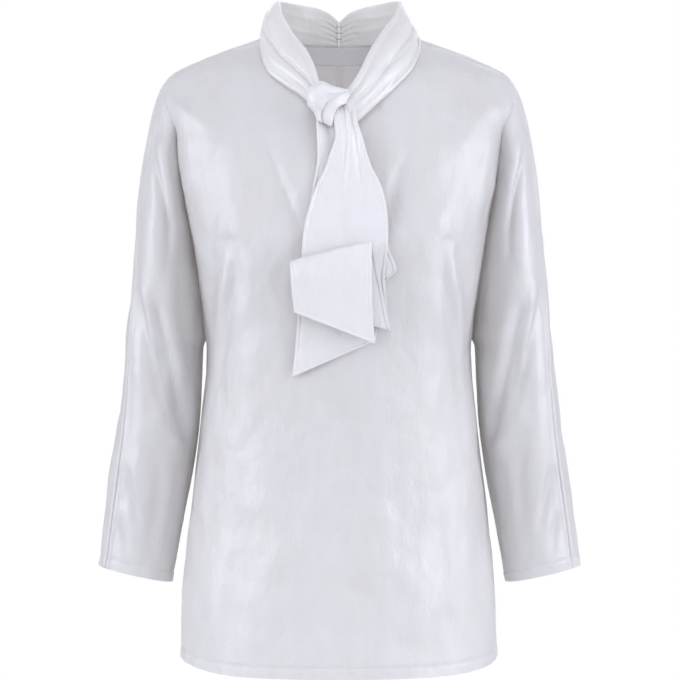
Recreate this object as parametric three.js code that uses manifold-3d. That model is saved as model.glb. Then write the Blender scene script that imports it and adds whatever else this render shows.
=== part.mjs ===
// A satin blouse with dolman sleeves and a scarf collar knotted in front, hollow as if worn.
// Millimetres, +Z up. The front faces -Y and the wearer's left is +X.
// The origin is on the centre line, at the height of the shoulder beside the neck.
import * as THREE from "three";
import { mergeVertices } from "three/addons/utils/BufferGeometryUtils.js";
import Module from "manifold-3d";

// Driving sizes
const CLOTH = 1.6; // wall of the body and sleeves
const HEM_CLOTH = 2.4; // wall where the cloth is turned up twice
const HEM_DEEP = 12; // height of the turned hem
const TIE_CLOTH = 1.2; // wall of the two tie ends
const SEAM_GAP = 0.4; // between pieces at a seam
const NECK_TOP = 9; // height of the neckline at the shoulder
const FRONT_NECK_DROP = 75;
const BACK_NECK_DROP = 6;
const NECK_HALF = 62; // half width of the neckline where the shoulder strip starts
const SHOULDER = -63; // where the fold between body and sleeve starts
const UNDERARM = -323;
const HEM = -684;
const SIDE_RISE = 10; // how much higher the hem is at the side seams
const CUFF_OUTER = -574.5;
const CUFF_INNER = -592.5;

// Columns and rows of the cut pieces
const BODY_COLS = 12;
const SLEEVE_COLS = 8;
const YOKE_ROWS = 6;
const CHEST_ROWS = 12;
const SKIRT_ROWS = 12;
const CUFF_ROWS = 10;
const EASE = 1.35; // makes the rows closer just under the arm

const table = (names, rows) =>
  rows.map((r) => Object.fromEntries(names.map((n, i) => [n, r[i]])));

// Half sections of the body by height: width to the side, and depth in front and behind
const BODY = table(
  ["z", "width", "front", "back"],
  [
    [9, 60, 24, 62],
    [0, 84, 34, 70],
    [-20, 137, 50, 79],
    [-40, 176, 65, 87],
    [-63, 189, 80, 94],
    [-100, 177, 97, 101],
    [-150, 171, 111, 107],
    [-210, 161, 120, 108],
    [-270, 152, 122, 106],
    [-323, 146, 121, 104],
    [-336, 144.4, 121, 104],
    [-360, 144.8, 121, 104],
    [-390, 147.5, 121, 106],
    [-460, 155.5, 124, 112],
    [-550, 166, 130, 122],
    [-620, 172, 134, 129],
    [-684, 173.5, 137, 133],
  ],
);

// Outer edge of the garment by height, and how far forward of it the shoulder seam runs
const OUTLINE = table(
  ["z", "width", "centre", "seam"],
  [
    [9, 70, 5, -0.4],
    [0, 94, 4, -0.4],
    [-20, 148, 3, -0.4],
    [-40, 186, 3, -0.35],
    [-63, 199, 3, -0.25],
    [-100, 209, 3, -0.17],
    [-150, 217.5, 3, -0.16],
    [-220, 224, 3, -0.16],
    [-323, 233.5, 2, -0.18],
    [-390, 240, 0, -0.2],
    [-460, 249.5, -2, -0.22],
    [-520, 257, -4, -0.22],
    [-592, 266, -6, -0.22],
  ],
);

// The fold between body and sleeve, in front and behind, down to the underarm
const FOLD_LINE = table(
  ["z", "front", "back", "spread"],
  [
    [9, -20, 25, 0],
    [-63, -27, 32, 3],
    [-100, -34, 39, 8],
    [-150, -31, 37, 11],
    [-210, -22, 29, 14],
    [-270, -11, 16, 16],
    [-323, 2, 2, 12],
    [-360, 2, 2, 3],
    [-420, 1, 1, 0],
    [-684, 0, 0, 0],
  ],
);

// The sleeve by height: its underarm seam, and its depth in front and behind
const SLEEVE = table(
  ["z", "inner", "seamY", "front", "back"],
  [
    [9, 60, 2, 20, 24],
    [-63, 189, 2, 27, 34],
    [-100, 177, 2, 40, 44],
    [-150, 171, 2, 49, 52],
    [-220, 160, 2, 55, 58],
    [-323, 146, 2, 56, 60],
    [-336, 150.2, 2, 55, 59],
    [-360, 151.4, 2, 54, 57],
    [-390, 153, 1, 52, 53],
    [-421, 155, 0, 50, 48],
    [-454, 159, -1, 48, 44],
    [-487, 164.5, -2, 46, 40],
    [-520, 171, -4, 45, 36],
    [-592, 184, -6, 41, 30],
  ],
);

// The largest folds, seen from in front or behind; a raised one has a positive depth
const FOLDS = [
  { face: "front", path: [[104, -196], [122, -262], [134, -330], [141, -400], [153, -520]], width: 13, depth: 5 },
  { face: "front", path: [[124, -208], [139, -262], [143, -318]], width: 10, depth: -7 },
  { face: "front", path: [[84, -112], [48, -202]], width: 13, depth: -3 },
  { face: "front", path: [[190, -70], [150, -92], [118, -120]], width: 20, depth: 4 },
  { face: "front", path: [[222, -282], [216, -322], [209, -362], [203, -402]], width: 7, depth: -4 },
  { face: "front", path: [[202, -298], [196, -336], [189, -368], [180, -396], [172, -426]], width: 10, depth: -9 },
  { face: "front", path: [[186, -270], [182, -320], [174, -362]], width: 9, depth: 4 },
  { face: "front", path: [[232, -474], [226, -522]], width: 8, depth: -3 },
  { face: "back", path: [[92, -150], [112, -250], [124, -340]], width: 16, depth: 4 },
  { face: "back", path: [[126, -230], [136, -300], [140, -380]], width: 12, depth: -6 },
  { face: "back", path: [[60, -420], [66, -540], [70, -640]], width: 24, depth: 4 },
  { face: "back", path: [[212, -270], [202, -330], [190, -380], [178, -410]], width: 11, depth: -8 },
  { face: "back", path: [[236, -400], [226, -450], [212, -490]], width: 9, depth: -4 },
];

// The bust that the general figure gives the cloth, and the hollow between
const BUST = { x: 98, z: -206, wide: 46, above: 62, below: 190, depth: 9 };
const HOLLOW = { x: 0, z: -150, wide: 42, high: 62, depth: -4 };

const mix = (a, b, t) => a + (b - a) * t;
const clamp = (t) => Math.min(1, Math.max(0, t));
const smooth = (t) => clamp(t) ** 2 * (3 - 2 * clamp(t));
const bell = (d, width) => Math.exp(-((d / width) ** 2));

// A smooth curve through one column of a table, which never overshoots its values
function column(rows, name, along = "z") {
  const at = rows.map((r) => r[along]);
  const value = rows.map((r) => r[name]);
  const last = at.length - 1;
  const steep = (i) => (value[i + 1] - value[i]) / (at[i + 1] - at[i]);
  const slope = value.map((_, i) => {
    if (i === 0) return steep(0);
    if (i === last) return steep(last - 1);
    const [a, b] = [steep(i - 1), steep(i)];
    return a * b <= 0 ? 0 : (2 * a * b) / (a + b);
  });
  const rising = at[last] > at[0];
  return (x) => {
    let i = 0;
    while (i < last - 1 && (rising ? x > at[i + 1] : x < at[i + 1])) i++;
    const h = at[i + 1] - at[i];
    const t = clamp((x - at[i]) / h);
    const [t2, t3] = [t * t, t * t * t];
    return (
      value[i] * (2 * t3 - 3 * t2 + 1) +
      slope[i] * h * (t3 - 2 * t2 + t) +
      value[i + 1] * (3 * t2 - 2 * t3) +
      slope[i + 1] * h * (t3 - t2)
    );
  };
}

const bodyWidth = column(BODY, "width");
const bodyDepth = { front: column(BODY, "front"), back: column(BODY, "back") };
const outerWidth = column(OUTLINE, "width");
const outerCentre = column(OUTLINE, "centre");
const shoulderSeam = column(OUTLINE, "seam");
const foldLine = { front: column(FOLD_LINE, "front"), back: column(FOLD_LINE, "back") };
const foldSpread = column(FOLD_LINE, "spread");
const sleeveInner = column(SLEEVE, "inner");
const sleeveSeamY = column(SLEEVE, "seamY");
const sleeveDepth = { front: column(SLEEVE, "front"), back: column(SLEEVE, "back") };
const outward = { front: -1, back: 1 };

// How far the fold between body and sleeve has formed: 0 on the shoulder, 1 below it
const creased = (z) => smooth((SHOULDER - z) / 80);

// The numbers of one half section of the body at a height
function bodySection(face, z) {
  const sign = outward[face];
  const centre = outerCentre(z);
  const width = bodyWidth(z);
  const reach = bodyDepth[face](z) - sign * centre;
  const roundTurn = Math.asin(Math.min(1, width / outerWidth(z)));
  const formed = creased(z);
  const roundEdge = centre + sign * reach * Math.cos(roundTurn);
  return {
    sign,
    centre,
    width,
    reach,
    roundTurn,
    formed,
    turn: mix(roundTurn, Math.PI / 2, formed),
    edge: mix(roundEdge, foldLine[face](z), formed),
    flat: mix(1, 0.8, formed),
  };
}

// Depth of the body at an angle from the centre line
function bodyDepthAt(section, angle) {
  const { sign, edge, turn, flat } = section;
  const middle = section.centre + sign * section.reach;
  const low = Math.cos(turn) ** flat;
  const rise = (Math.max(0, Math.cos(angle)) ** flat - low) / (1 - low);
  return edge + (middle - edge) * rise;
}

// A point of the body: t is 0 on the centre line and 1 at the side seam or fold line
function bodyPoint(face, z, t) {
  const s = bodySection(face, z);
  const angle = t * s.turn;
  return [(s.width * Math.sin(angle)) / Math.sin(s.turn), bodyDepthAt(s, angle)];
}

const bezier = (a, b, c, d, t) =>
  a * (1 - t) ** 3 + 3 * b * t * (1 - t) ** 2 + 3 * c * t * t * (1 - t) + d * t ** 3;

// A point of the sleeve: q is 0 at the underarm seam or fold line and 1 at the outer edge
function sleevePoint(face, z, q) {
  const s = bodySection(face, z);
  const wide = outerWidth(z);
  const joined = z >= UNDERARM;
  const [x0, y0] = joined ? [s.width, s.edge] : [sleeveInner(z), sleeveSeamY(z)];
  const k = (4 / 3) * Math.tan((Math.PI / 2 - s.roundTurn) / 4);
  const roundX = x0 + k * wide * Math.cos(s.roundTurn);
  const roundY = y0 - s.sign * k * s.reach * Math.sin(s.roundTurn);
  const arch = (4 / 3) * (sleeveDepth[face](z) - (s.sign * (y0 + s.centre)) / 2);
  const x1 = mix(roundX, x0 + foldSpread(z), s.formed);
  const y1 = mix(roundY, y0 + s.sign * arch, s.formed);
  const y2 = s.centre + s.sign * mix(k * s.reach, arch, s.formed);
  return [bezier(x0, x1, wide, wide, q), bezier(y0, y1, y2, s.centre, q)];
}

// A place round the sleeve: -1 and 1 are its underarm seam, 0 its outer edge, less is in front
function roundSleeve(face, z, across) {
  return mix(face === "front" ? -1 : 1, shoulderSeam(z), across - 1);
}

function sleeveAround(z, p) {
  return p <= 0 ? sleevePoint("front", z, 1 + p) : sleevePoint("back", z, 1 - p);
}

// A point across a whole half: 0 centre line, 1 fold line or underarm, 2 shoulder seam
function acrossPoint(face, z, across) {
  if (across <= 1) return bodyPoint(face, z, across);
  return sleeveAround(z, roundSleeve(face, z, across));
}

const acrossOf = (col) =>
  col <= BODY_COLS ? col / BODY_COLS : 1 + (col - BODY_COLS) / SLEEVE_COLS;
const NECK = {
  front: { drop: FRONT_NECK_DROP, power: 1.3, yoke: -100 },
  back: { drop: BACK_NECK_DROP, power: 1, yoke: -76 },
};

// From the neckline to a row just under the shoulder
function yokePoint(face, col, row) {
  const neck = NECK[face];
  const v = row / YOKE_ROWS;
  const angle = (Math.min(1, acrossOf(col)) * Math.PI) / 2;
  const neckZ = NECK_TOP - neck.drop * Math.max(0, Math.cos(angle)) ** neck.power;
  const yokeZ = SHOULDER + (neck.yoke - SHOULDER) * Math.max(0, Math.cos(angle));
  const z = mix(neckZ, yokeZ, v);
  let across = acrossOf(col);
  if (col < BODY_COLS) {
    const s = bodySection(face, neckZ);
    const neckX = NECK_HALF * Math.sin(angle);
    const start = Math.asin(Math.min(1, (neckX * Math.sin(s.turn)) / s.width)) / s.turn;
    across = mix(start, across, smooth(v));
  }
  return [...acrossPoint(face, z, across), z];
}

// From the yoke to the level of the underarm
function chestPoint(face, col, row) {
  const [, , top] = yokePoint(face, col, YOKE_ROWS);
  const z = mix(top, UNDERARM, row / CHEST_ROWS);
  return [...acrossPoint(face, z, acrossOf(col)), z];
}

// From the underarm to the hem, with one row where the turned hem starts
function skirtPoint(face, col, row) {
  const across = acrossOf(col);
  const hem = HEM + SIDE_RISE * Math.sin((across * Math.PI) / 2) ** 6;
  const v = (row / (SKIRT_ROWS - 1)) ** EASE;
  const z = row === SKIRT_ROWS ? hem : mix(UNDERARM, hem + HEM_DEEP, v);
  return [...bodyPoint(face, z, across), z];
}

// From the underarm to the cuff, whose edge is lower at the underarm seam
function cuffPoint(face, col, row) {
  const across = acrossOf(col);
  const v = (row / (CUFF_ROWS - 1)) ** EASE;
  const level = (low) => (row === CUFF_ROWS ? low : mix(UNDERARM, low + HEM_DEEP, v));
  const p = roundSleeve(face, level(CUFF_INNER), across);
  const z = mix(level(CUFF_INNER), level(CUFF_OUTER), smooth(1 - Math.abs(p)));
  return [...sleeveAround(z, p), z];
}

// How far a fold, or the bust, moves the cloth outwards at a place seen from in front
function nearest(path, x, z) {
  let best = Infinity;
  let share = 0;
  for (let i = 0; i + 1 < path.length; i++) {
    const [ax, az] = path[i];
    const [dx, dz] = [path[i + 1][0] - ax, path[i + 1][1] - az];
    const t = clamp(((x - ax) * dx + (z - az) * dz) / (dx * dx + dz * dz));
    const d = Math.hypot(x - ax - dx * t, z - az - dz * t);
    if (d < best) [best, share] = [d, (i + t) / (path.length - 1)];
  }
  return [best, share];
}

function relief(face, x, z) {
  const across = Math.abs(x);
  let out = 0;
  for (const fold of FOLDS.filter((f) => f.face === face)) {
    const [d, share] = nearest(fold.path, across, z);
    out += fold.depth * bell(d, fold.width) * (0.45 + 0.55 * Math.sin(Math.PI * share));
  }
  if (face === "front") {
    const tall = z > BUST.z ? BUST.above : BUST.below;
    out += BUST.depth * bell(across - BUST.x, BUST.wide) * bell(z - BUST.z, tall);
    out += HOLLOW.depth * bell(across - HOLLOW.x, HOLLOW.wide) * bell(z - HOLLOW.z, HOLLOW.high);
  }
  return out;
}

// A cloth surface: points, four-cornered faces, and the piece that each face is cut from
class Cloth {
  constructor() {
    this.points = [];
    this.faces = [];
    this.found = new Map();
  }
  point(x, y, z) {
    const key = [x, y, z].map((v) => Math.round(v * 50)).join();
    if (!this.found.has(key)) {
      this.found.set(key, this.points.length);
      this.points.push(new THREE.Vector3(x, y, z));
    }
    return this.found.get(key);
  }
  grid(cols, rows, place, flip, piece) {
    const at = [];
    for (let r = 0; r <= rows; r++) {
      at.push([]);
      for (let c = 0; c <= cols; c++) at[r].push(this.point(...place(c, r)));
    }
    for (let r = 0; r < rows; r++)
      for (let c = 0; c < cols; c++) {
        const quad = [at[r][c], at[r][c + 1], at[r + 1][c + 1], at[r + 1][c]];
        const corners = flip ? quad.reverse() : quad;
        this.faces.push({ corners, piece });
      }
    return this;
  }
  triangles(piece) {
    const own = piece ? this.faces.filter((f) => f.piece === piece) : this.faces;
    const cut = ({ corners: [a, b, c, d] }) => [[a, b, c], [a, c, d]];
    return own.flatMap(cut).filter(([a, b, c]) => a !== b && b !== c && c !== a);
  }
  normals() {
    const sum = this.points.map(() => new THREE.Vector3());
    for (const [a, b, c] of this.triangles()) {
      const [pa, pb, pc] = [a, b, c].map((i) => this.points[i]);
      const n = pb.clone().sub(pa).cross(pc.clone().sub(pa));
      for (const i of [a, b, c]) sum[i].add(n);
    }
    return sum.map((n) => n.normalize());
  }
}

// A closed wall of one piece of cloth, drawn back from its seams by half the seam gap
function wall(cloth, piece, thick) {
  const normals = cloth.normals();
  const tris = cloth.triangles(piece);
  const edges = new Map();
  for (const t of tris)
    for (let k = 0; k < 3; k++) edges.set(`${t[k]},${t[(k + 1) % 3]}`, [t[k], t[(k + 1) % 3]]);
  const rim = [...edges.values()].filter(([a, b]) => !edges.has(`${b},${a}`));
  const inward = new Map();
  for (const [a, b] of rim) {
    const along = cloth.points[b].clone().sub(cloth.points[a]).normalize();
    for (const i of [a, b]) {
      const aside = normals[i].clone().cross(along);
      inward.set(i, (inward.get(i) ?? new THREE.Vector3()).add(aside));
    }
  }
  const used = [...new Set(tris.flat())];
  const slot = new Map(used.map((i, n) => [i, n]));
  const place = (side) =>
    used.flatMap((i) => {
      const back = inward.get(i)?.clone().setLength(SEAM_GAP / 2) ?? new THREE.Vector3();
      const shift = normals[i].clone().multiplyScalar((side * thick(cloth.points[i], i)) / 2);
      return cloth.points[i].clone().add(back).add(shift).toArray();
    });
  const n = used.length;
  const outer = tris.map((t) => t.map((i) => slot.get(i)));
  const inner = outer.map(([a, b, c]) => [a + n, c + n, b + n]);
  const sides = rim.flatMap(([a, b]) => {
    const [p, q] = [slot.get(a), slot.get(b)];
    return [[q, p, p + n], [q, p + n, q + n]];
  });
  const geometry = new THREE.BufferGeometry();
  const positions = [...place(1), ...place(-1)];
  geometry.setAttribute("position", new THREE.Float32BufferAttribute(positions, 3));
  geometry.setIndex([...outer, ...inner, ...sides].flat());
  return geometry;
}

// The worn garment, as one cloth whose faces know the piece that they are cut from
function garment() {
  const cloth = new Cloth();
  for (const face of ["front", "back"])
    for (const side of [1, -1]) {
      const backPiece = side > 0 ? "back_left" : "back_right";
      const piece = face === "front" ? "front" : backPiece;
      const flip = (face === "front") !== side < 0;
      const on = (place, first = 0) => (c, r) => {
        const [x, y, z] = place(face, c + first, r);
        return [side * x, y, z];
      };
      const all = BODY_COLS + SLEEVE_COLS;
      cloth.grid(all, YOKE_ROWS, on(yokePoint), flip, piece);
      cloth.grid(all, CHEST_ROWS, on(chestPoint), flip, piece);
      cloth.grid(BODY_COLS, SKIRT_ROWS, on(skirtPoint), flip, piece);
      cloth.grid(SLEEVE_COLS, CUFF_ROWS, on(cuffPoint, BODY_COLS), flip, piece);
    }
  const normals = cloth.normals();
  const moved = cloth.points.map((p, i) => {
    const face = normals[i].y < 0 ? "front" : "back";
    const facing = smooth((Math.abs(normals[i].y) - 0.15) / 0.6);
    return p.clone().addScaledVector(normals[i], relief(face, p.x, p.z) * facing);
  });
  cloth.points = moved;
  return cloth;
}

const onHem = (p) =>
  (Math.abs(p.x) < 176 && p.z < HEM + SIDE_RISE + 1) || (Math.abs(p.x) > 180 && p.z < CUFF_OUTER + 12);
const clothThick = (p) => (onHem(p) ? HEM_CLOTH : CLOTH);

// The y of the front's cloth at a place on the chest, seen from in front
function chestY(x, z) {
  const s = bodySection("front", z);
  const angle = Math.asin(Math.min(1, (Math.abs(x) * Math.sin(s.turn)) / s.width));
  return bodyDepthAt(s, angle) - relief("front", x, z);
}

// The scarf collar, by stations from the centre back to the knot: its top edge, its low edge
// and how far that stands off the chest (none at the back, where lowY is given), how thick
// the soft tube is and how far it bows out
const BAND_NAMES = ["s", "topX", "topY", "topZ", "lowX", "lowY", "lowZ", "off", "thick", "bow"];
const BAND_RIGHT = table(BAND_NAMES, [
  [0, 0.4, 67, 30, 0.4, 72, 0.4, 0, 3, 0],
  [0.35, 12, 66, 40, 13, 71.2, 0.6, 0, 3.4, 0.5],
  [1, 30, 61, 46, 38.9, 65.1, 1.8, 0, 4, 1],
  [2, 54, 37, 47.5, 66, 43, 6, 0, 5, 4],
  [3, 65, 8, 46, 81, 8, 7.6, 0, 6, 6],
  [4, 63, -20, 31, 84, -39, -14, 3.8, 7, 7],
  [5, 50, -46, 4, 77, 0, -38, 3.2, 8, 5],
  [6, 34, -68, -18, 60, 0, -54, 3.2, 8, 4],
  [7, 25, -84, -38, 41, 0, -67, 4, 9, 3],
  [8, 16, -93, -53, 26, 0, -78, 7, 9, 2],
]);
const BAND_LEFT = table(BAND_NAMES, [
  [0, 0.4, 67, 30, 0.4, 72, 0.4, 0, 3, 0],
  [0.35, 12, 66, 40, 13, 71.2, 0.6, 0, 3.4, 0.5],
  [1, 30, 61, 46, 38.9, 65.1, 1.8, 0, 4, 1],
  [2, 56, 37, 48.5, 66, 43, 6, 0, 5, 2],
  [3, 67, 8, 46, 78.5, 8, 8.2, 0, 5, 1],
  [4, 61, -20, 28, 89, -36, -9, 3.2, 6, 3],
  [5, 44, -48, 2, 81, 0, -33, 3.2, 8, 5],
  [6, 29, -70, -21, 60, 0, -58, 3.2, 8, 4],
  [7, 18, -87, -41, 38, 0, -78, 4, 9, 3],
  [8, 8, -95, -53, 24, 0, -90, 7, 9, 2],
]);
const BAND_STATIONS = 24;
const BAND_ROWS = 6;
const BAND_EDGE = 1.8;

// One side of the scarf collar: fullest at half height, with soft lengthwise pleats
function bandGeometry(rows, side) {
  const last = rows.length - 1;
  const get = Object.fromEntries(BAND_NAMES.map((n) => [n, column(rows, n, "s")]));
  const corner = (s, which) => {
    const [x, y, z] = ["X", "Y", "Z"].map((axis) => get[which + axis](s));
    const rest = chestY(x, Math.min(z, -8)) - get.off(s);
    const onChest = which === "low" ? smooth(s - 3.6) : 0;
    return new THREE.Vector3(side * x, mix(y, rest, onChest), z);
  };
  const cloth = new Cloth();
  const fullness = new Map();
  const place = (c, r) => {
    const s = (c / BAND_STATIONS) * last;
    const h = r / BAND_ROWS;
    const [top, low] = [corner(s, "top"), corner(s, "low")];
    const step = corner(Math.min(last, s + 0.05), "top").sub(corner(Math.max(0, s - 0.05), "top"));
    const out = step.cross(low.clone().sub(top)).normalize().multiplyScalar(side);
    const swell = 4 * h * (1 - h);
    const at = top.lerp(low, h).addScaledVector(out, get.bow(s) * swell);
    if (s === 0) at.x = side * rows[0].topX;
    const index = cloth.point(...at.toArray());
    fullness.set(index, mix(BAND_EDGE, get.thick(s), Math.sqrt(swell)));
    return at.toArray();
  };
  cloth.grid(BAND_STATIONS, BAND_ROWS, place, side > 0, "band");
  return wall(cloth, "band", (_, i) => fullness.get(i));
}

// A tie end as rungs across it: its left and right edge seen from in front, and how far
// it stands off the chest
const RUNG_NAMES = ["leftX", "leftZ", "rightX", "rightZ", "off"];
const TIE_UNDER = table(RUNG_NAMES, [
  [-24, -76, -2, -76, 10],
  [-24, -104, 8, -103, 6],
  [-22.5, -132, 24, -128, 4.5],
  [-29, -174, 42, -168, 4],
  [-36, -218, 50, -214, 4],
  [-39.5, -250, 52.5, -231, 4],
  [-41.5, -272, 61, -253, 4],
  [-43, -290, 54, -265, 4],
  [-43.5, -304, 50, -284, 4],
  [-45.5, -334, 53.5, -302, 4],
  [-49, -367, 56.5, -318, 4],
]);
const TIE_OVER = table(RUNG_NAMES, [
  [-13, -66, 16, -62, 30],
  [-13, -84, 22, -82, 27],
  [-12, -102, 26, -100, 20],
  [-14, -122, 31, -118, 14],
  [-22, -146, 39, -145, 10],
  [-30, -174, 48, -168, 8.5],
  [-36, -201, 52.5, -194, 8],
  [-39.5, -229, 52.5, -218, 8],
  [-40, -256, 51, -242, 8],
  [-39.6, -276, 49.4, -254, 8.6],
  [-39.4, -283, 48.8, -260, 10.6],
  [-40, -276, 47.4, -254, 12.6],
  [-45, -258, 42, -240, 13.2],
  [-50.4, -250.5, 35.6, -227.6, 13.6],
  [-51.4, -246, 34.2, -223.6, 15.6],
  [-51, -251, 34.4, -228, 17.6],
  [-50, -266, 35, -258, 18.2],
  [-48.5, -282, 36, -292, 19],
  [-47, -299, 37.5, -332, 20],
]);
const TIE_COLS = 8;
const RUNG_STEPS = 2;

function tieGeometry(rungs) {
  const numbered = rungs.map((r, n) => ({ n, ...r }));
  const get = Object.fromEntries(RUNG_NAMES.map((n) => [n, column(numbered, n, "n")]));
  const cloth = new Cloth();
  const place = (c, r) => {
    const n = r / RUNG_STEPS;
    const u = c / TIE_COLS;
    const x = mix(get.leftX(n), get.rightX(n), u);
    const z = mix(get.leftZ(n), get.rightZ(n), u);
    return [x, chestY(x, z) - get.off(n), z];
  };
  cloth.grid(TIE_COLS, (rungs.length - 1) * RUNG_STEPS, place, true, "tie");
  return wall(cloth, "tie", () => TIE_CLOTH);
}

// The knot: a rounded wrap, wider than it is high, with one slanting groove
const KNOT = { x: -8, y: -105, z: -72, wide: 28, deep: 13, high: 23, lean: -0.35 };

function knotGeometry(grow = 0) {
  const ball = new THREE.SphereGeometry(1, 28, 18);
  ball.deleteAttribute("normal");
  ball.deleteAttribute("uv");
  const geometry = mergeVertices(ball, 1e-4);
  const at = geometry.attributes.position;
  for (let i = 0; i < at.count; i++) {
    const p = new THREE.Vector3().fromBufferAttribute(at, i);
    const groove = 1 - 0.1 * bell(p.x + 0.9 * p.z - 0.25, 0.16) * clamp(-2 * p.y);
    at.setXYZ(
      i,
      (KNOT.wide * groove + grow) * p.x,
      (KNOT.deep * groove + grow) * p.y,
      (KNOT.high * groove + grow) * p.z,
    );
  }
  geometry.rotateY(KNOT.lean);
  geometry.translate(KNOT.x, KNOT.y, KNOT.z);
  return geometry;
}

// The woven neck label, blank, held by its ends inside the back
const LABEL = { half: 38, top: 1, low: -17.5, thick: 1, off: 2.8 };

function labelGeometry() {
  const cloth = new Cloth();
  const place = (c, r) => {
    const x = mix(-LABEL.half, LABEL.half, c / 12);
    const z = mix(LABEL.top, LABEL.low, r / 2);
    const s = bodySection("back", z);
    const angle = Math.asin((Math.abs(x) * Math.sin(s.turn)) / s.width);
    return [x, bodyDepthAt(s, angle) - LABEL.off, z];
  };
  cloth.grid(12, 2, place, true, "label");
  return wall(cloth, "label", () => LABEL.thick);
}

// A hook that joins the two ends of the collar across the centre back
const HOOK = { levels: [24.5, 17.5, 10.8], span: 7, wire: 1.1, off: 0.7 };

function hookGeometry(z) {
  const half = HOOK.span / 2;
  const path = new THREE.CatmullRomCurve3(
    [[-half, 0], [-half * 0.6, -1.1], [half * 0.6, -1.1], [half, 0]].map(
      ([x, y]) => new THREE.Vector3(x, y, 0),
    ),
  );
  const section = new THREE.Shape();
  section.absarc(0, 0, HOOK.wire / 2, 0, 2 * Math.PI);
  const hook = new THREE.ExtrudeGeometry(section, { extrudePath: path, steps: 8, curveSegments: 4 });
  const [{ topY, topZ, lowY, lowZ }] = BAND_LEFT;
  const middle = mix(topY, lowY, (topZ - z) / (topZ - lowZ));
  return hook.translate(0, middle - BAND_EDGE - HOOK.off, z);
}

// Cuts one closed geometry away from another
const wasm = await Module();
wasm.setup();

function solidOf(geometry) {
  const bare = geometry.index ? geometry.toNonIndexed() : geometry.clone();
  const only = new THREE.BufferGeometry().setAttribute("position", bare.getAttribute("position"));
  const merged = mergeVertices(only, 1e-4);
  return new wasm.Manifold(
    new wasm.Mesh({
      numProp: 3,
      vertProperties: new Float32Array(merged.attributes.position.array),
      triVerts: new Uint32Array(merged.index.array),
    }),
  );
}

function cutBy(geometry, tools) {
  let solid = solidOf(geometry);
  for (const tool of tools) solid = solid.subtract(solidOf(tool));
  const bodies = solid.decompose().sort((a, b) => b.volume() - a.volume());
  const mesh = bodies[0].getMesh();
  const made = new THREE.BufferGeometry();
  made.setAttribute("position", new THREE.BufferAttribute(new Float32Array(mesh.vertProperties), 3));
  made.setIndex(new THREE.BufferAttribute(new Uint32Array(mesh.triVerts), 1));
  return made;
}

const SATIN = { color: 0xeceaec, roughness: 0.38, metalness: 0 };
const LABEL_SATIN = { color: 0xf4f4f6, roughness: 0.5, metalness: 0 };
const HOOK_METAL = { color: 0x8a8a8c, roughness: 0.35, metalness: 1 };

const blouse = new THREE.Group();
const add = (name, geometry, look = SATIN) => {
  const mesh = new THREE.Mesh(geometry, new THREE.MeshStandardMaterial(look));
  mesh.name = name;
  blouse.add(mesh);
};

const shell = garment();
for (const piece of ["front", "back_left", "back_right"]) add(piece, wall(shell, piece, clothThick));

const knotRoom = knotGeometry(0.35);
const over = cutBy(tieGeometry(TIE_OVER), [knotRoom]);
add("collar_right", cutBy(bandGeometry(BAND_RIGHT, -1), [knotRoom]));
add("collar_left", cutBy(bandGeometry(BAND_LEFT, 1), [knotRoom]));
add("knot", knotGeometry());
add("tie_over", over);
add("tie_under", cutBy(tieGeometry(TIE_UNDER), [knotRoom]));
add("label", labelGeometry(), LABEL_SATIN);
HOOK.levels.forEach((z, i) => add(`hook_${i + 1}`, hookGeometry(z), HOOK_METAL));

export default blouse;
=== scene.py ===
"""A white satin blouse with dolman sleeves and a scarf collar knotted in front."""
import math

import bpy
import numpy as np
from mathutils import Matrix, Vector, noise


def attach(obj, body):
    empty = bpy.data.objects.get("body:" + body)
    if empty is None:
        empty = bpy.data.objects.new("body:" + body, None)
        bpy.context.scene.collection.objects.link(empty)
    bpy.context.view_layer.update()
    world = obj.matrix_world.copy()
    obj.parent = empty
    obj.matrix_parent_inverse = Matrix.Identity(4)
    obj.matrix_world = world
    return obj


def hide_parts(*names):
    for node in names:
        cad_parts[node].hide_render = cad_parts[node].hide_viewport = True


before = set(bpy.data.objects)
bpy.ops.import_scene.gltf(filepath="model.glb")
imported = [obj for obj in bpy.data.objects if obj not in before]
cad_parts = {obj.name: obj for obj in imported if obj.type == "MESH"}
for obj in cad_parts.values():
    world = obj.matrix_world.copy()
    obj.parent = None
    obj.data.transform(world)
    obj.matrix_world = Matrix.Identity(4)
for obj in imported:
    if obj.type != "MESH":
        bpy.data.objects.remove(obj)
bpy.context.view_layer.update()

bl_info = {
    "name": "Satin tie-neck blouse",
    "version": (1, 0, 0),
    "blender": (4, 5, 0),
    "location": "3D View > Sidebar > Blouse",
    "description": "Makes the panels, scarf collar, tie ends and trimmings of a satin blouse",
    "category": "Mesh",
}

MM = 0.001
ROOT = "root"


# Sizes and colours

def length_setting(name, description, default, low, high):
    return bpy.props.FloatProperty(name=name, description=description, default=default,
                                   min=low, max=high, unit="LENGTH")


def strength_setting(name, description, default, high):
    return bpy.props.FloatProperty(name=name, description=description, default=default,
                                   min=0.0, max=high, subtype="FACTOR")


def colour_setting(name, description, default):
    return bpy.props.FloatVectorProperty(name=name, description=description, default=default,
                                         min=0.0, max=1.0, subtype="COLOR")


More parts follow.
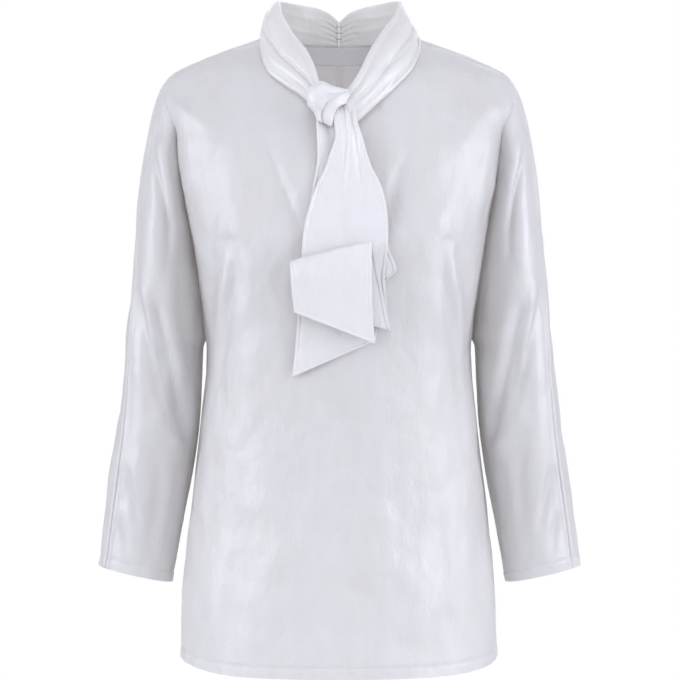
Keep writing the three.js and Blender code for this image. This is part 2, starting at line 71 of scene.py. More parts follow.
class BlouseSizes(bpy.types.PropertyGroup):
    cloth: length_setting("Cloth", "Thickness of the satin", 0.0006, 0.0002, 0.0015)
    hem: length_setting("Hem", "Depth of the turned and stitched hems", 0.011, 0.004, 0.03)
    allowance: length_setting("Seam allowance", "Width of the pressed allowance beside a seam",
                              0.0055, 0.002, 0.015)
    stitch: length_setting("Stitch", "Length of one stitch", 0.0026, 0.001, 0.006)
    folds: strength_setting("Folds", "Strength of the large folds", 1.0, 1.5)
    crumple: strength_setting("Crumple", "Strength of the small, soft creases", 1.3, 3.0)
    pleats: strength_setting("Pleats", "Strength of the lengthwise pleats of collar and tie",
                             1.0, 2.0)


class BlouseColours(bpy.types.PropertyGroup):
    satin: colour_setting("Satin", "Main colour of the cloth", (0.85, 0.843, 0.845))
    satin_warm: colour_setting("Satin, warm", "The faint warmer tone in the cloth",
                               (0.87, 0.85, 0.825))
    thread: colour_setting("Thread", "Colour of the stitches", (0.84, 0.825, 0.81))
    label: colour_setting("Label", "Colour of the bare neck label", (0.97, 0.965, 0.985))
    metal: colour_setting("Hooks", "Colour of the collar hooks", (0.6, 0.6, 0.6))
    floor: colour_setting("Floor", "Colour of the studio floor", (0.86, 0.86, 0.87))


# Tables, in millimetres

def table(names, rows):
    return [dict(zip(names.split(), row)) for row in rows]


# Half widths and depths of the body at each height
BODY = table("z width front back", [
    (9, 60, 24, 62), (0, 84, 34, 70), (-20, 137, 50, 79), (-40, 176, 65, 87), (-63, 189, 80, 94),
    (-100, 177, 97, 101), (-150, 171, 111, 107), (-210, 161, 120, 108), (-270, 152, 122, 106),
    (-323, 146, 121, 104), (-336, 144.4, 121, 104), (-360, 144.8, 121, 104),
    (-390, 147.5, 121, 106), (-460, 155.5, 124, 112), (-550, 166, 130, 122),
    (-620, 172, 134, 129), (-684, 173.5, 137, 133)])
# The outline seen from in front: its half width, the y of its middle, and where the shoulder and
# overarm seam lies round the sleeve (-1 at the front fold, 1 at the back one)
OUTLINE = table("z width centre seam", [
    (9, 70, 5, -0.4), (0, 94, 4, -0.4), (-20, 148, 3, -0.4), (-40, 186, 3, -0.35),
    (-63, 199, 3, -0.25), (-100, 209, 3, -0.17), (-150, 217.5, 3, -0.16), (-220, 224, 3, -0.16),
    (-323, 233.5, 2, -0.18), (-390, 240, 0, -0.2), (-460, 249.5, -2, -0.22),
    (-520, 257, -4, -0.22), (-592, 266, -6, -0.22)])
# The y at which the body meets the sleeve, in front and behind, and how wide the fold there is
FOLD_LINE = table("z front back spread", [
    (9, -20, 25, 0), (-63, -27, 32, 3), (-100, -34, 39, 8), (-150, -31, 37, 11),
    (-210, -22, 29, 14), (-270, -11, 16, 16), (-323, 2, 2, 12), (-360, 2, 2, 3),
    (-420, 1, 1, 0), (-684, 0, 0, 0)])
# The sleeve's inner edge, the y of its inner seam, and its depths
SLEEVE = table("z inner seamY front back", [
    (9, 60, 2, 20, 24), (-63, 189, 2, 27, 34), (-100, 177, 2, 40, 44), (-150, 171, 2, 49, 52),
    (-220, 160, 2, 55, 58), (-323, 146, 2, 56, 60), (-336, 150.2, 2, 55, 59),
    (-360, 151.4, 2, 54, 57), (-390, 153, 1, 52, 53), (-421, 155, 0, 50, 48),
    (-454, 159, -1, 48, 44), (-487, 164.5, -2, 46, 40), (-520, 171, -4, 45, 36),
    (-592, 184, -6, 41, 30)])
NECK = {"front": {"drop": 75, "power": 1.3, "yoke": -100},
        "back": {"drop": 6, "power": 1, "yoke": -76}}
NECK_TOP, NECK_HALF, SHOULDER, UNDERARM = 9, 62, -63, -323
HEM, SIDE_RISE, CUFF_OUTER, CUFF_INNER = -684, 10, -574.5, -592.5
OUTWARD = {"front": -1, "back": 1}
# Below the shoulders the fold beside the sleeve forms over this height, while the curve of the
# section goes from a plain cosine to this power of it
FORMED_OVER, FORMED_FLAT = 58, 0.8

# The largest folds: which side (0 both, 1 wearer's left, -1 right), where they run seen from in
# front, how wide they are and how far they stand out
FOLD_NAMES = "side path width depth"
LARGE_FOLDS = {"front": table(FOLD_NAMES, [
    (0, [(104, -196), (122, -262), (134, -330), (141, -400), (153, -520)], 13, 5),
    (0, [(119, -226), (131, -262), (138, -296), (141, -335)], 10, -7),
    (0, [(84, -112), (48, -202)], 13, -3),
    (0, [(190, -70), (150, -92), (118, -120)], 20, 4),
    (0, [(222, -282), (216, -322), (209, -362), (203, -402)], 7, -4),
    (0, [(202, -298), (196, -336), (189, -368), (180, -396), (172, -426)], 10, -9),
    (0, [(186, -270), (182, -320), (174, -362)], 9, 4),
    (0, [(232, -474), (226, -522)], 8, -3),
]), "back": table(FOLD_NAMES, [
    (0, [(92, -150), (112, -250), (124, -340)], 16, 4),
    (0, [(126, -230), (136, -300), (140, -380)], 12, -6),
    (0, [(60, -420), (66, -540), (70, -640)], 24, 4),
    (0, [(212, -270), (202, -330), (190, -380), (178, -410)], 11, -8),
    (0, [(236, -400), (226, -450), (212, -490)], 9, -4),
])}
BUST = {"x": 98, "z": -206, "wide": 46, "above": 62, "below": 190, "depth": 9}
HOLLOW = {"z": -150, "wide": 42, "high": 62, "depth": -4}

# Smaller folds, which the solids leave out
SMALL_FOLDS = {"front": table(FOLD_NAMES, [
    (0, [(205, -112), (198, -140), (190, -172), (184, -205), (184, -235)], 4.5, -4.4),
    (0, [(196, -118), (187, -150), (180, -185)], 7, 1.8),
    (0, [(198, -190), (196, -240), (198, -290)], 8, 2.0),
    (0, [(219, -268), (212, -310), (204, -352), (194, -392), (178, -428)], 5, -4.2),
    (0, [(210, -272), (203, -316), (196, -356)], 6, 3.0),
    (0, [(196, -296), (188, -322), (179, -360), (170, -400), (162, -440)], 5, -5.4),
    (0, [(190, -384), (182, -420), (172, -452)], 8, 3.2),
    (0, [(229, -470), (222, -510), (218, -530)], 4, -3.2),
    (0, [(237, -520), (230, -556)], 4, -2.8),
    (0, [(204, -430), (196, -480), (198, -540)], 7, -1.8),
    (0, [(109, -222), (106, -262), (120, -330), (127, -380)], 5, -2.8),
    (0, [(117, -226), (114, -262), (128, -318)], 4, 1.4),
    (0, [(104, -207), (72, -219), (34, -228)], 20, 1.8),
    (0, [(98, -172), (64, -180), (32, -190)], 20, -1.4),
    (-1, [(-130, -208), (-133, -240)], 4, -1.6),
    (-1, [(-122, -196), (-127, -236)], 4, 1.2),
    (-1, [(-79, -120), (-43, -205)], 5, -2.0),
    (1, [(76, -120), (54, -178)], 5, -2.0),
    (1, [(141, -46), (120, -74)], 6, -1.5),
    (-1, [(-188, -66), (-142, -98)], 5, 1.2),
    (0, [(166, -84), (158, -140), (150, -190)], 8, 1.5),
    (0, [(196, -120), (206, -220), (212, -300), (208, -380)], 10, 2),
    (0, [(214, -420), (222, -500), (228, -560)], 9, 1.4),
    (0, [(190, -430), (198, -500), (206, -560)], 8, -1.6),
    (0, [(96, -420), (104, -520), (112, -640)], 16, -1.6),
    (-1, [(-30, -400), (-24, -500), (-34, -600)], 18, 1.2),
    (1, [(36, -380), (46, -480), (40, -600)], 16, 1.1),
    (0, [(128, -560), (134, -640)], 10, 1.3),
]), "back": table(FOLD_NAMES, [
    (-1, [(-40, -60), (-56, -150), (-60, -260)], 14, -1.6),
    (1, [(36, -70), (50, -160), (62, -250)], 12, -1.4),
    (0, [(150, -90), (120, -140), (96, -210)], 9, 1.6),
    (-1, [(-100, -420), (-112, -520), (-118, -640)], 16, -2),
    (1, [(104, -400), (108, -500), (120, -640)], 15, -2.2),
    (1, [(30, -380), (26, -480), (34, -620)], 14, -1.6),
    (-1, [(-26, -400), (-34, -520), (-30, -640)], 15, -1.5),
    (0, [(200, -160), (210, -240)], 8, 1.6),
    (0, [(196, -420), (206, -500), (214, -560)], 8, -1.8),
])}


# Curves and shapes of the garment

def mix(a, b, t):
    return a + (b - a) * t


def smooth(t):
    t = np.clip(t, 0, 1)
    return t * t * (3 - 2 * t)


def bell(d, width):
    return np.exp(-(d / width) ** 2)


class Curve:
    """A smooth curve through one column of a table, which never overshoots its values."""

    def __init__(self, rows, name, along="z"):
        at = np.array([row[along] for row in rows], float)
        value = np.array([row[name] for row in rows], float)
        if at[0] > at[-1]:
            at, value = at[::-1], value[::-1]
        steep = np.diff(value) / np.diff(at)
        slope = np.concatenate([steep[:1], np.zeros(len(at) - 2), steep[-1:]])
        for i in range(1, len(at) - 1):
            a, b = steep[i - 1], steep[i]
            slope[i] = 0 if a * b <= 0 else 2 * a * b / (a + b)
        self.at, self.value, self.slope = at, value, slope

    def __call__(self, where):
        where = np.asarray(where, float)
        i = np.clip(np.searchsorted(self.at, where) - 1, 0, len(self.at) - 2)
        h = self.at[i + 1] - self.at[i]
        t = np.clip((where - self.at[i]) / h, 0, 1)
        return (self.value[i] * (2 * t ** 3 - 3 * t ** 2 + 1)
                + self.slope[i] * h * (t ** 3 - 2 * t ** 2 + t)
                + self.value[i + 1] * (3 * t ** 2 - 2 * t ** 3)
                + self.slope[i + 1] * h * (t ** 3 - t ** 2))


def curves(rows, names, along):
    return {name: Curve(rows, name, along) for name in names.split()}


body_width = Curve(BODY, "width")
body_depth = {face: Curve(BODY, face) for face in OUTWARD}
outer_width = Curve(OUTLINE, "width")
outer_centre = Curve(OUTLINE, "centre")
shoulder_seam = Curve(OUTLINE, "seam")
fold_line = {face: Curve(FOLD_LINE, face) for face in OUTWARD}
fold_spread = Curve(FOLD_LINE, "spread")
sleeve_inner = Curve(SLEEVE, "inner")
sleeve_seam_y = Curve(SLEEVE, "seamY")
sleeve_depth = {face: Curve(SLEEVE, face) for face in OUTWARD}


class Section:
    """One half section of the body at given heights."""

    def __init__(self, face, z):
        self.sign = OUTWARD[face]
        self.centre = outer_centre(z)
        self.width = body_width(z)
        self.reach = body_depth[face](z) - self.sign * self.centre
        self.round_turn = np.arcsin(np.minimum(1, self.width / outer_width(z)))
        self.formed = smooth((SHOULDER - z) / FORMED_OVER)
        self.turn = mix(self.round_turn, math.pi / 2, self.formed)
        round_edge = self.centre + self.sign * self.reach * np.cos(self.round_turn)
        self.edge = mix(round_edge, fold_line[face](z), self.formed)
        self.flat = mix(1, FORMED_FLAT, self.formed)

    def depth(self, angle):
        middle = self.centre + self.sign * self.reach
        low = np.maximum(0, np.cos(self.turn)) ** self.flat
        rise = (np.maximum(0, np.cos(angle)) ** self.flat - low) / (1 - low)
        return self.edge + (middle - self.edge) * rise


def body_point(face, z, t):
    s = Section(face, z)
    angle = t * s.turn
    return s.width * np.sin(angle) / np.sin(s.turn), s.depth(angle)


def bezier(a, b, c, d, t):
    return a * (1 - t) ** 3 + 3 * b * t * (1 - t) ** 2 + 3 * c * t * t * (1 - t) + d * t ** 3


def sleeve_point(face, z, q):
    s = Section(face, z)
    wide = outer_width(z)
    joined = z >= UNDERARM
    x0 = np.where(joined, s.width, sleeve_inner(z))
    y0 = np.where(joined, s.edge, sleeve_seam_y(z))
    k = 4 / 3 * np.tan((math.pi / 2 - s.round_turn) / 4)
    round_x = x0 + k * wide * np.cos(s.round_turn)
    round_y = y0 - s.sign * k * s.reach * np.sin(s.round_turn)
    arch = 4 / 3 * (sleeve_depth[face](z) - s.sign * (y0 + s.centre) / 2)
    x1 = mix(round_x, x0 + fold_spread(z), s.formed)
    y1 = mix(round_y, y0 + s.sign * arch, s.formed)
    y2 = s.centre + s.sign * mix(k * s.reach, arch, s.formed)
    return bezier(x0, x1, wide, wide, q), bezier(y0, y1, y2, s.centre, q)


def round_sleeve(face, z, across):
    return mix(-1 if face == "front" else 1, shoulder_seam(z), across - 1)


def sleeve_around(z, p):
    fx, fy = sleeve_point("front", z, 1 + np.minimum(p, 0))
    bx, by = sleeve_point("back", z, 1 - np.maximum(p, 0))
    return np.where(p <= 0, fx, bx), np.where(p <= 0, fy, by)


def across_point(face, z, across):
    bx, by = body_point(face, z, np.minimum(across, 1))
    sx, sy = sleeve_around(z, round_sleeve(face, z, np.maximum(across, 1)))
    return np.where(across <= 1, bx, sx), np.where(across <= 1, by, sy)


def yoke_patch(face, across, v):
    neck = NECK[face]
    angle = np.minimum(1, across) * math.pi / 2
    cosine = np.maximum(0, np.cos(angle))
    neck_z = NECK_TOP - neck["drop"] * cosine ** neck["power"]
    yoke_z = SHOULDER + (neck["yoke"] - SHOULDER) * cosine
    z = mix(neck_z, yoke_z, v)
    s = Section(face, neck_z)
    reach = np.minimum(1, NECK_HALF * np.sin(angle) * np.sin(s.turn) / s.width)
    start = np.minimum(1, np.arcsin(reach) / s.turn)
    place = np.where(across < 1, mix(start, across, smooth(v)), across)
    x, y = across_point(face, z, place)
    return x, y, z


def chest_patch(face, across, v):
    top = yoke_patch(face, across, np.ones_like(v))[2]
    z = mix(top, UNDERARM, v)
    x, y = across_point(face, z, across)
    return x, y, z


def skirt_patch(face, across, v):
    hem = HEM + SIDE_RISE * np.sin(across * math.pi / 2) ** 6
    z = mix(UNDERARM, hem, v)
    x, y = body_point(face, z, across)
    return x, y, z


def cuff_patch(face, across, v):
    inner = mix(UNDERARM, CUFF_INNER, v)
    p = round_sleeve(face, inner, across)
    z = mix(inner, mix(UNDERARM, CUFF_OUTER, v), smooth(1 - np.abs(p)))
    x, y = sleeve_around(z, p)
    return x, y, z


# How far folds and the bust move the cloth outwards

def near_path(path, x, z):
    best = np.full(np.shape(x), 1e9)
    share = np.zeros(np.shape(x))
    spans = len(path) - 1
    for i, ((ax, az), (bx, bz)) in enumerate(zip(path, path[1:])):
        dx, dz = bx - ax, bz - az
        t = np.clip(((x - ax) * dx + (z - az) * dz) / (dx * dx + dz * dz), 0, 1)
        d = np.hypot(x - ax - dx * t, z - az - dz * t)
        closer = d < best
        best = np.where(closer, d, best)
        share = np.where(closer, (i + t) / spans, share)
    return best, share


def fold_relief(folds, x, z):
    out = np.zeros(np.shape(x))
    for fold in folds:
        at = np.abs(x) if fold["side"] == 0 else x
        d, share = near_path(fold["path"], at, z)
        ends = 0.45 + 0.55 * np.sin(math.pi * share)
        out = out + fold["depth"] * bell(d, fold["width"]) * ends
    return out


def large_relief(face, x, z):
    out = fold_relief(LARGE_FOLDS[face], x, z)
    if face == "front":
        tall = np.where(z > BUST["z"], BUST["above"], BUST["below"])
        out = out + BUST["depth"] * bell(np.abs(x) - BUST["x"], BUST["wide"]) * bell(
            z - BUST["z"], tall)
        out = out + HOLLOW["depth"] * bell(x, HOLLOW["wide"]) * bell(
            z - HOLLOW["z"], HOLLOW["high"])
    return out


# Noise per millimetre in x, y and z, so that creases are longer up and down
CREASE_SCALE = (0.020, 0.020, 0.011)
# The long waves, the finer ones and the sharper valleys: how fine, how high, and a fixed start
CREASES = table("fine high start", [
    (1.0, 2.1, (3.1, 0.4, 7.7)), (2.7, 1.0, (11.0, 5.2, 1.3)), (1.7, -0.6, (0.7, 21.0, 4.4))])


def crumple_relief(points):
    """Faint creases of soft satin: waves, with a few sharper valleys."""
    out = np.empty(len(points))
    for i, point in enumerate(points * np.array(CREASE_SCALE)):
        at = Vector(point)
        level = [noise.noise(at * crease["fine"] + Vector(crease["start"])) for crease in CREASES]
        level[2] = (1 - min(1, abs(level[2]) * 5)) ** 2
        out[i] = sum(crease["high"] * height for crease, height in zip(CREASES, level))
    return out


def chest_y(x, z):
    """The y of the front's cloth on the chest, seen from in front."""
    s = Section("front", z)
    reach = np.minimum(1, np.abs(x) * np.sin(s.turn) / s.width)
    return s.depth(np.arcsin(reach)) - large_relief("front", x, z)


# Meshes

def grid_quads(rows, cols, flip=False):
    index = np.arange(rows * cols).reshape(rows, cols)
    quads = np.stack([index[:-1, :-1], index[:-1, 1:], index[1:, 1:], index[1:, :-1]], -1)
    quads = quads.reshape(-1, 4)
    return quads[:, ::-1] if flip else quads


def point_normals(points, quads):
    across = points[quads[:, 2]] - points[quads[:, 0]]
    along = points[quads[:, 3]] - points[quads[:, 1]]
    face = np.cross(across, along)
    total = np.zeros_like(points)
    for k in range(4):
        np.add.at(total, quads[:, k], face)
    return total / np.maximum(np.linalg.norm(total, axis=1, keepdims=True), 1e-12)


def rim_edges(quads, count):
    a = quads.reshape(-1)
    b = np.roll(quads, -1, axis=1).reshape(-1)
    alone = ~np.isin(b * count + a, a * count + b)
    return a[alone], b[alone]


def weld(points, quads, size=0.02):
    keys = np.round(points / size).astype(np.int64)
    _, first, inverse = np.unique(keys, axis=0, return_index=True, return_inverse=True)
    inverse = inverse.reshape(-1)
    return first, inverse, inverse[quads]


def shell(points, normals, quads, outer, inner, gap=0.0):
    """A closed thin wall round a surface, drawn back from its rim by half the seam gap."""
    used = np.unique(quads)
    slot = np.full(len(points), -1)
    slot[used] = np.arange(len(used))
    quads = slot[quads]
    points, normals = points[used], normals[used]
    outer = np.broadcast_to(outer, (len(slot),))[used]
    inner = np.broadcast_to(inner, (len(slot),))[used]
    a, b = rim_edges(quads, len(points))
    if gap:
        along = points[b] - points[a]
        aside = np.cross(normals[a], along) + np.cross(normals[b], along)
        back = np.zeros_like(points)
        np.add.at(back, a, aside)
        np.add.at(back, b, aside)
        size = np.linalg.norm(back, axis=1, keepdims=True)
        points = points + np.where(size > 1e-9, back / np.maximum(size, 1e-9), 0) * gap / 2
    n = len(points)
    verts = np.concatenate([points + normals * outer[:, None], points - normals * inner[:, None]])
    sides = np.stack([b, a, a + n, b + n], -1)
    return verts, np.concatenate([quads, quads[:, ::-1] + n, sides])


def make_object(name, verts, faces, look, slot):
    mesh = bpy.data.meshes.new(name)
    mesh.from_pydata((np.asarray(verts) * MM).tolist(), [], np.asarray(faces).tolist())
    mesh.validate()
    mesh.polygons.foreach_set("use_smooth", [True] * len(mesh.polygons))
    mesh.update()
    piece = bpy.data.objects.new(name, mesh)
    bpy.context.scene.collection.objects.link(piece)
    mesh.materials.append(look)
    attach(piece, ROOT)
    return piece


def make_sheet(name, mesh, look, node, slot="satin"):
    """Makes a piece of cloth in place of one solid."""
    piece = make_object(name, *mesh, look, slot)
    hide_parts(node)


def stitches(points, normals, length, wide=0.55, lift=0.16):
    """A row of small lens-shaped stitches along a line on the cloth."""
    steps = np.linalg.norm(np.diff(points, axis=0), axis=1)
    run = np.concatenate([[0], np.cumsum(steps)])
    pitch = length * 1.25
    starts = np.arange(pitch / 2, run[-1] - pitch / 2, pitch)
    verts, faces = [], []
    for at in starts:
        place = [np.interp(at + d, run, points[:, k]) for d in (-length / 2, 0, length / 2)
                 for k in range(3)]
        a, m, b = np.array(place).reshape(3, 3)
        up = np.array([np.interp(at, run, normals[:, k]) for k in range(3)])
        up /= np.linalg.norm(up)
        side = np.cross(b - a, up)
        side *= wide / 2 / np.linalg.norm(side)
        first = len(verts)
        top = m + up * (lift + wide / 2)
        verts += [a, b, m + side + up * lift / 2, m - side + up * lift / 2, top, m - up * 0.15]
        faces += [(first, first + 2, first + 4), (first + 2, first + 1, first + 4),
                  (first + 1, first + 3, first + 4), (first + 3, first, first + 4),
                  (first + 2, first, first + 5), (first + 1, first + 2, first + 5),
                  (first + 3, first + 1, first + 5), (first, first + 3, first + 5)]
    return np.array(verts), faces


def join_parts(parts):
    verts, faces, count = [], [], 0
    for part_verts, part_faces in parts:
        verts.append(np.asarray(part_verts))
        faces += [[i + count for i in face] for face in part_faces]
        count += len(part_verts)
    return np.concatenate(verts), faces


# Materials

def arithmetic(operation, reflected=False):
    def apply(self, other):
        a, b = (other, self) if reflected else (self, other)
        return self.look.node("ShaderNodeMath", {"operation": operation}, {0: a, 1: b})
    return apply


class Val:
    """A socket of a shader. Arithmetic on it adds Math nodes."""

    def __init__(self, look, socket):
        self.look, self.socket = look, socket

    __add__ = arithmetic("ADD")
    __radd__ = arithmetic("ADD", reflected=True)
    __sub__ = arithmetic("SUBTRACT")
    __rsub__ = arithmetic("SUBTRACT", reflected=True)
    __mul__ = arithmetic("MULTIPLY")
    __rmul__ = arithmetic("MULTIPLY", reflected=True)


class Nodes:
    """A tree of shader nodes, which are all added by one method."""

    def __init__(self, tree):
        self.tree = tree

    def node(self, kind, settings=None, inputs=None, out=0):
        made = self.tree.nodes.new(kind)
        for name, value in (settings or {}).items():
            if name == "stops":
                for element, (position, shade) in zip(made.color_ramp.elements, value):
                    element.position = position
                    element.color = (shade, shade, shade, 1)
            else:
                setattr(made, name, value)
        for name, value in (inputs or {}).items():
            self.feed(made.inputs[name], value)
        return Val(self, made.outputs[out])

    def feed(self, socket, value):
        if isinstance(value, Val):
            self.tree.links.new(value.socket, socket)
        elif hasattr(value, "__len__") and len(value) == 3 and socket.type == "RGBA":
            socket.default_value = (*value, 1)
        else:
            socket.default_value = value


class Look(Nodes):
    """A material with one Principled shader."""

    def __init__(self, name, **fixed):
        self.material = bpy.data.materials.new(name)
        self.material.use_nodes = True
        super().__init__(self.material.node_tree)
        self.shader = self.tree.nodes["Principled BSDF"]
        for socket, value in fixed.items():
            self.shader.inputs[socket.replace("_", " ")].default_value = value

    def set(self, **inputs):
        for name, value in inputs.items():
            self.feed(self.shader.inputs[name.replace("_", " ")], value)
        return self.material

    def place(self, scale):
        where = self.node("ShaderNodeTexCoord", out="Object")
        return self.node("ShaderNodeMapping", inputs={"Vector": where, "Scale": scale})

    def speckle(self, scale, detail=2.0, rough=0.5):
        return self.node("ShaderNodeTexNoise", inputs={
            "Vector": self.place(scale), "Scale": 1.0, "Detail": detail, "Roughness": rough},
            out="Fac")

    def sheer(self, share, colour):
        """Lets a share of the light through the cloth."""
        through = self.node("ShaderNodeBsdfTranslucent", inputs={"Color": colour})
        own = Val(self, self.shader.outputs[0])
        both = self.node("ShaderNodeMixShader", inputs={0: share, 1: own, 2: through})
        self.feed(self.tree.nodes["Material Output"].inputs["Surface"], both)

    def blend(self, factor, a, b):
        return self.node("ShaderNodeMix", {"data_type": "RGBA"}, {0: factor, 6: a, 7: b}, out=2)

    def darken(self, factor, colour, dark):
        """The colour itself, and a darker one by the factor."""
        return self.blend(factor, colour, tuple(c * dark for c in colour))

    def ramp(self, value, low, high):
        stops = [(low, 0.0), (high, 1.0)]
        return self.node("ShaderNodeValToRGB", {"stops": stops}, {"Fac": value})

    def bump(self, height, strength, distance, **under):
        return self.node("ShaderNodeBump", inputs={
            "Height": height, "Strength": strength, "Distance": distance, **under})


def colours():
    return bpy.context.scene.blouse_colours


def sizes():
    return bpy.context.scene.blouse_sizes


# How each part's satin differs: how much light it lets through, how much painted shade of
# crumples mottles it, and its colour against that of the body, which on the collar is painted
# brighter for the extra light that the doubled band gives back
SATIN = {
    "body": {"sheer": 0.42, "painted_crease_shade": 1.0, "tint_and_painted_light": (1.0, 1.0, 1.0)},
    "collar": {"sheer": 0.3, "painted_crease_shade": 0.6, "tint_and_painted_light": (1.03, 1.025, 1.0)},
    "tie": {"sheer": 0.2, "painted_crease_shade": 0.4, "tint_and_painted_light": (1.0, 0.995, 0.985)},
}


def satin_look(part):
    """Satin: long floats along the grain, a faint cross weave, a soft sheen and painted crumple
    shade.
    """
    name = f"satin_{part}"
    made = bpy.data.materials.get(name)
    if made:
        return made
    tone = colours()
    look = Look(name, Sheen_Weight=0.1, Sheen_Roughness=0.45, IOR=1.5, Specular_IOR_Level=0.8,
                Metallic=0.11)
    kind = SATIN[part]
    # Each part's tint; the collar's is painted brighter than the body, standing in for the extra
    # light that its doubled band gives back
    white = tuple(c * t for c, t in zip(tone.satin, kind["tint_and_painted_light"]))
    floats = look.speckle((900, 900, 45), detail=3.0)
    cross = look.speckle((60, 60, 1500), detail=1.0)
    cloud = look.speckle((17, 17, 12), detail=4.0, rough=0.6)
    slub = look.speckle((160, 160, 12), detail=2.0, rough=0.6)
    wrinkle = look.speckle((62, 62, 34), detail=5.0, rough=0.62)
    # The soft clouds serve twice: a random warmer tone of the cloth, and painted shade below
    soft = look.ramp(cloud, 0.35, 0.65)
    colour = look.blend(soft * 0.6, white, tone.satin_warm)
    # Painted shade: where the crumple noise rises and in the soft clouds the colour is darkened
    # towards 0.8 of itself, standing in for the shade of the crumples; the slub share is the
    # yarn's own uneven tone
    crumple_shade = look.ramp(wrinkle, 0.38, 0.66)
    share = kind["painted_crease_shade"]
    colour = look.blend(slub * 0.08 + soft * (0.16 * share) + crumple_shade * (0.16 * share), colour,
                        tuple(c * 0.8 for c in white))
    creased = look.bump(wrinkle, 0.55, 0.0035)
    weave = look.bump(floats * 0.6 + cross * 0.25 + slub * 0.15, 0.22, 0.00012, Normal=creased)
    rough = 0.45 + (floats - 0.5) * 0.08 + (cloud - 0.5) * 0.24
    look.sheer(kind["sheer"], tone.satin_warm)
    return look.set(Base_Color=colour, Roughness=rough, Normal=weave)


def thread_look():
    made = bpy.data.materials.get("sewing_thread")
    if made:
        return made
    look = Look("sewing_thread", Sheen_Weight=0.2)
    twist = look.speckle((3000, 3000, 3000), detail=1.0)
    shade = look.darken(twist * 0.3, colours().thread, 0.8)
    return look.set(Base_Color=shade, Roughness=0.5 + twist * 0.1,
                    Normal=look.bump(twist, 0.4, 0.0001))


def label_look():
    look = Look("label_ribbon", Sheen_Weight=0.1)
    ribs = look.speckle((200, 200, 2600), detail=1.0)
    cloud = look.speckle((60, 60, 60))
    shade = look.darken(cloud * 0.25, colours().label, 0.93)
    look.sheer(0.2, colours().label)
    return look.set(Base_Color=shade, Roughness=0.42 + ribs * 0.1,
                    Normal=look.bump(ribs, 0.3, 0.0001))


def hook_look():
    look = Look("hook_wire")
    wear = look.speckle((900, 900, 900), detail=3.0)
    shade = look.darken(wear * 0.5, colours().metal, 0.6)
    return look.set(Base_Color=shade, Roughness=0.3 + wear * 0.15, Metallic=0.6,
                    Normal=look.bump(wear, 0.2, 0.00005))


def floor_look():
    look = Look("studio_floor")
    grain = look.speckle((3, 3, 3), detail=4.0)
    shade = look.darken(grain * 0.1, colours().floor, 0.97)
    return look.set(Base_Color=shade, Roughness=0.75 + grain * 0.1)


# The worn garment

BODY_COLS, SLEEVE_COLS = 56, 40
YOKE_ROWS, CHEST_ROWS, SKIRT_ROWS, CUFF_ROWS = 17, 69, 84, 62
SKIRT_LENGTH, CUFF_LENGTH = UNDERARM - HEM, 262
# The distance to a seam or hem that a point isn't near
FAR = 999.0
# Distances from the hem's edge at which its rows lie
HEM_ROWS = (13.0, 11.8, 11.0, 10.2, 8.5, 5.0, 2.0, 0.6, 0.0)
# Gap between panels, the ridge over a seam's allowance, the groove of the seam and its puckers
SEAM_GAP, SEAM_RIDGE, SEAM_GROOVE, SEAM_PUCKER = 0.4, 1.0, 2.0, 0.14
# How far the stitched line of a hem wavers and sinks in, and how close to it a point counts
HEM_WAVER, HEM_SINK, HEM_NEAR = 0.4, 0.6, 0.12
# Half the thickness that the turned cloth adds at a hem, outside and inside
TURN_OUT, TURN_IN = 0.45, 0.55


def spread(first, last, count):
    return np.linspace(first, last, count)


def crowd(t, share):
    """Places from 0 to 1, drawn towards both ends by a share."""
    return mix(t, 0.5 - 0.5 * np.cos(math.pi * t), share)


def hem_rows(length, count):
    """Row places from 0 to 1, closer at the stitched hem."""
    main = spread(0, length - HEM_ROWS[0], count)[:-1]
    return np.concatenate([main, length - np.array(HEM_ROWS)]) / length


def run_from(grid, axis, end):
    """Distance over the cloth from the first (0) or last (-1) row or column."""
    steps = np.linalg.norm(np.diff(grid, axis=axis), axis=2)
    zero = np.zeros_like(np.take(steps, [0], axis=axis))
    run = np.cumsum(np.concatenate([zero, steps], axis=axis), axis=axis)
    return run if end == 0 else np.take(run, [-1], axis=axis) - run


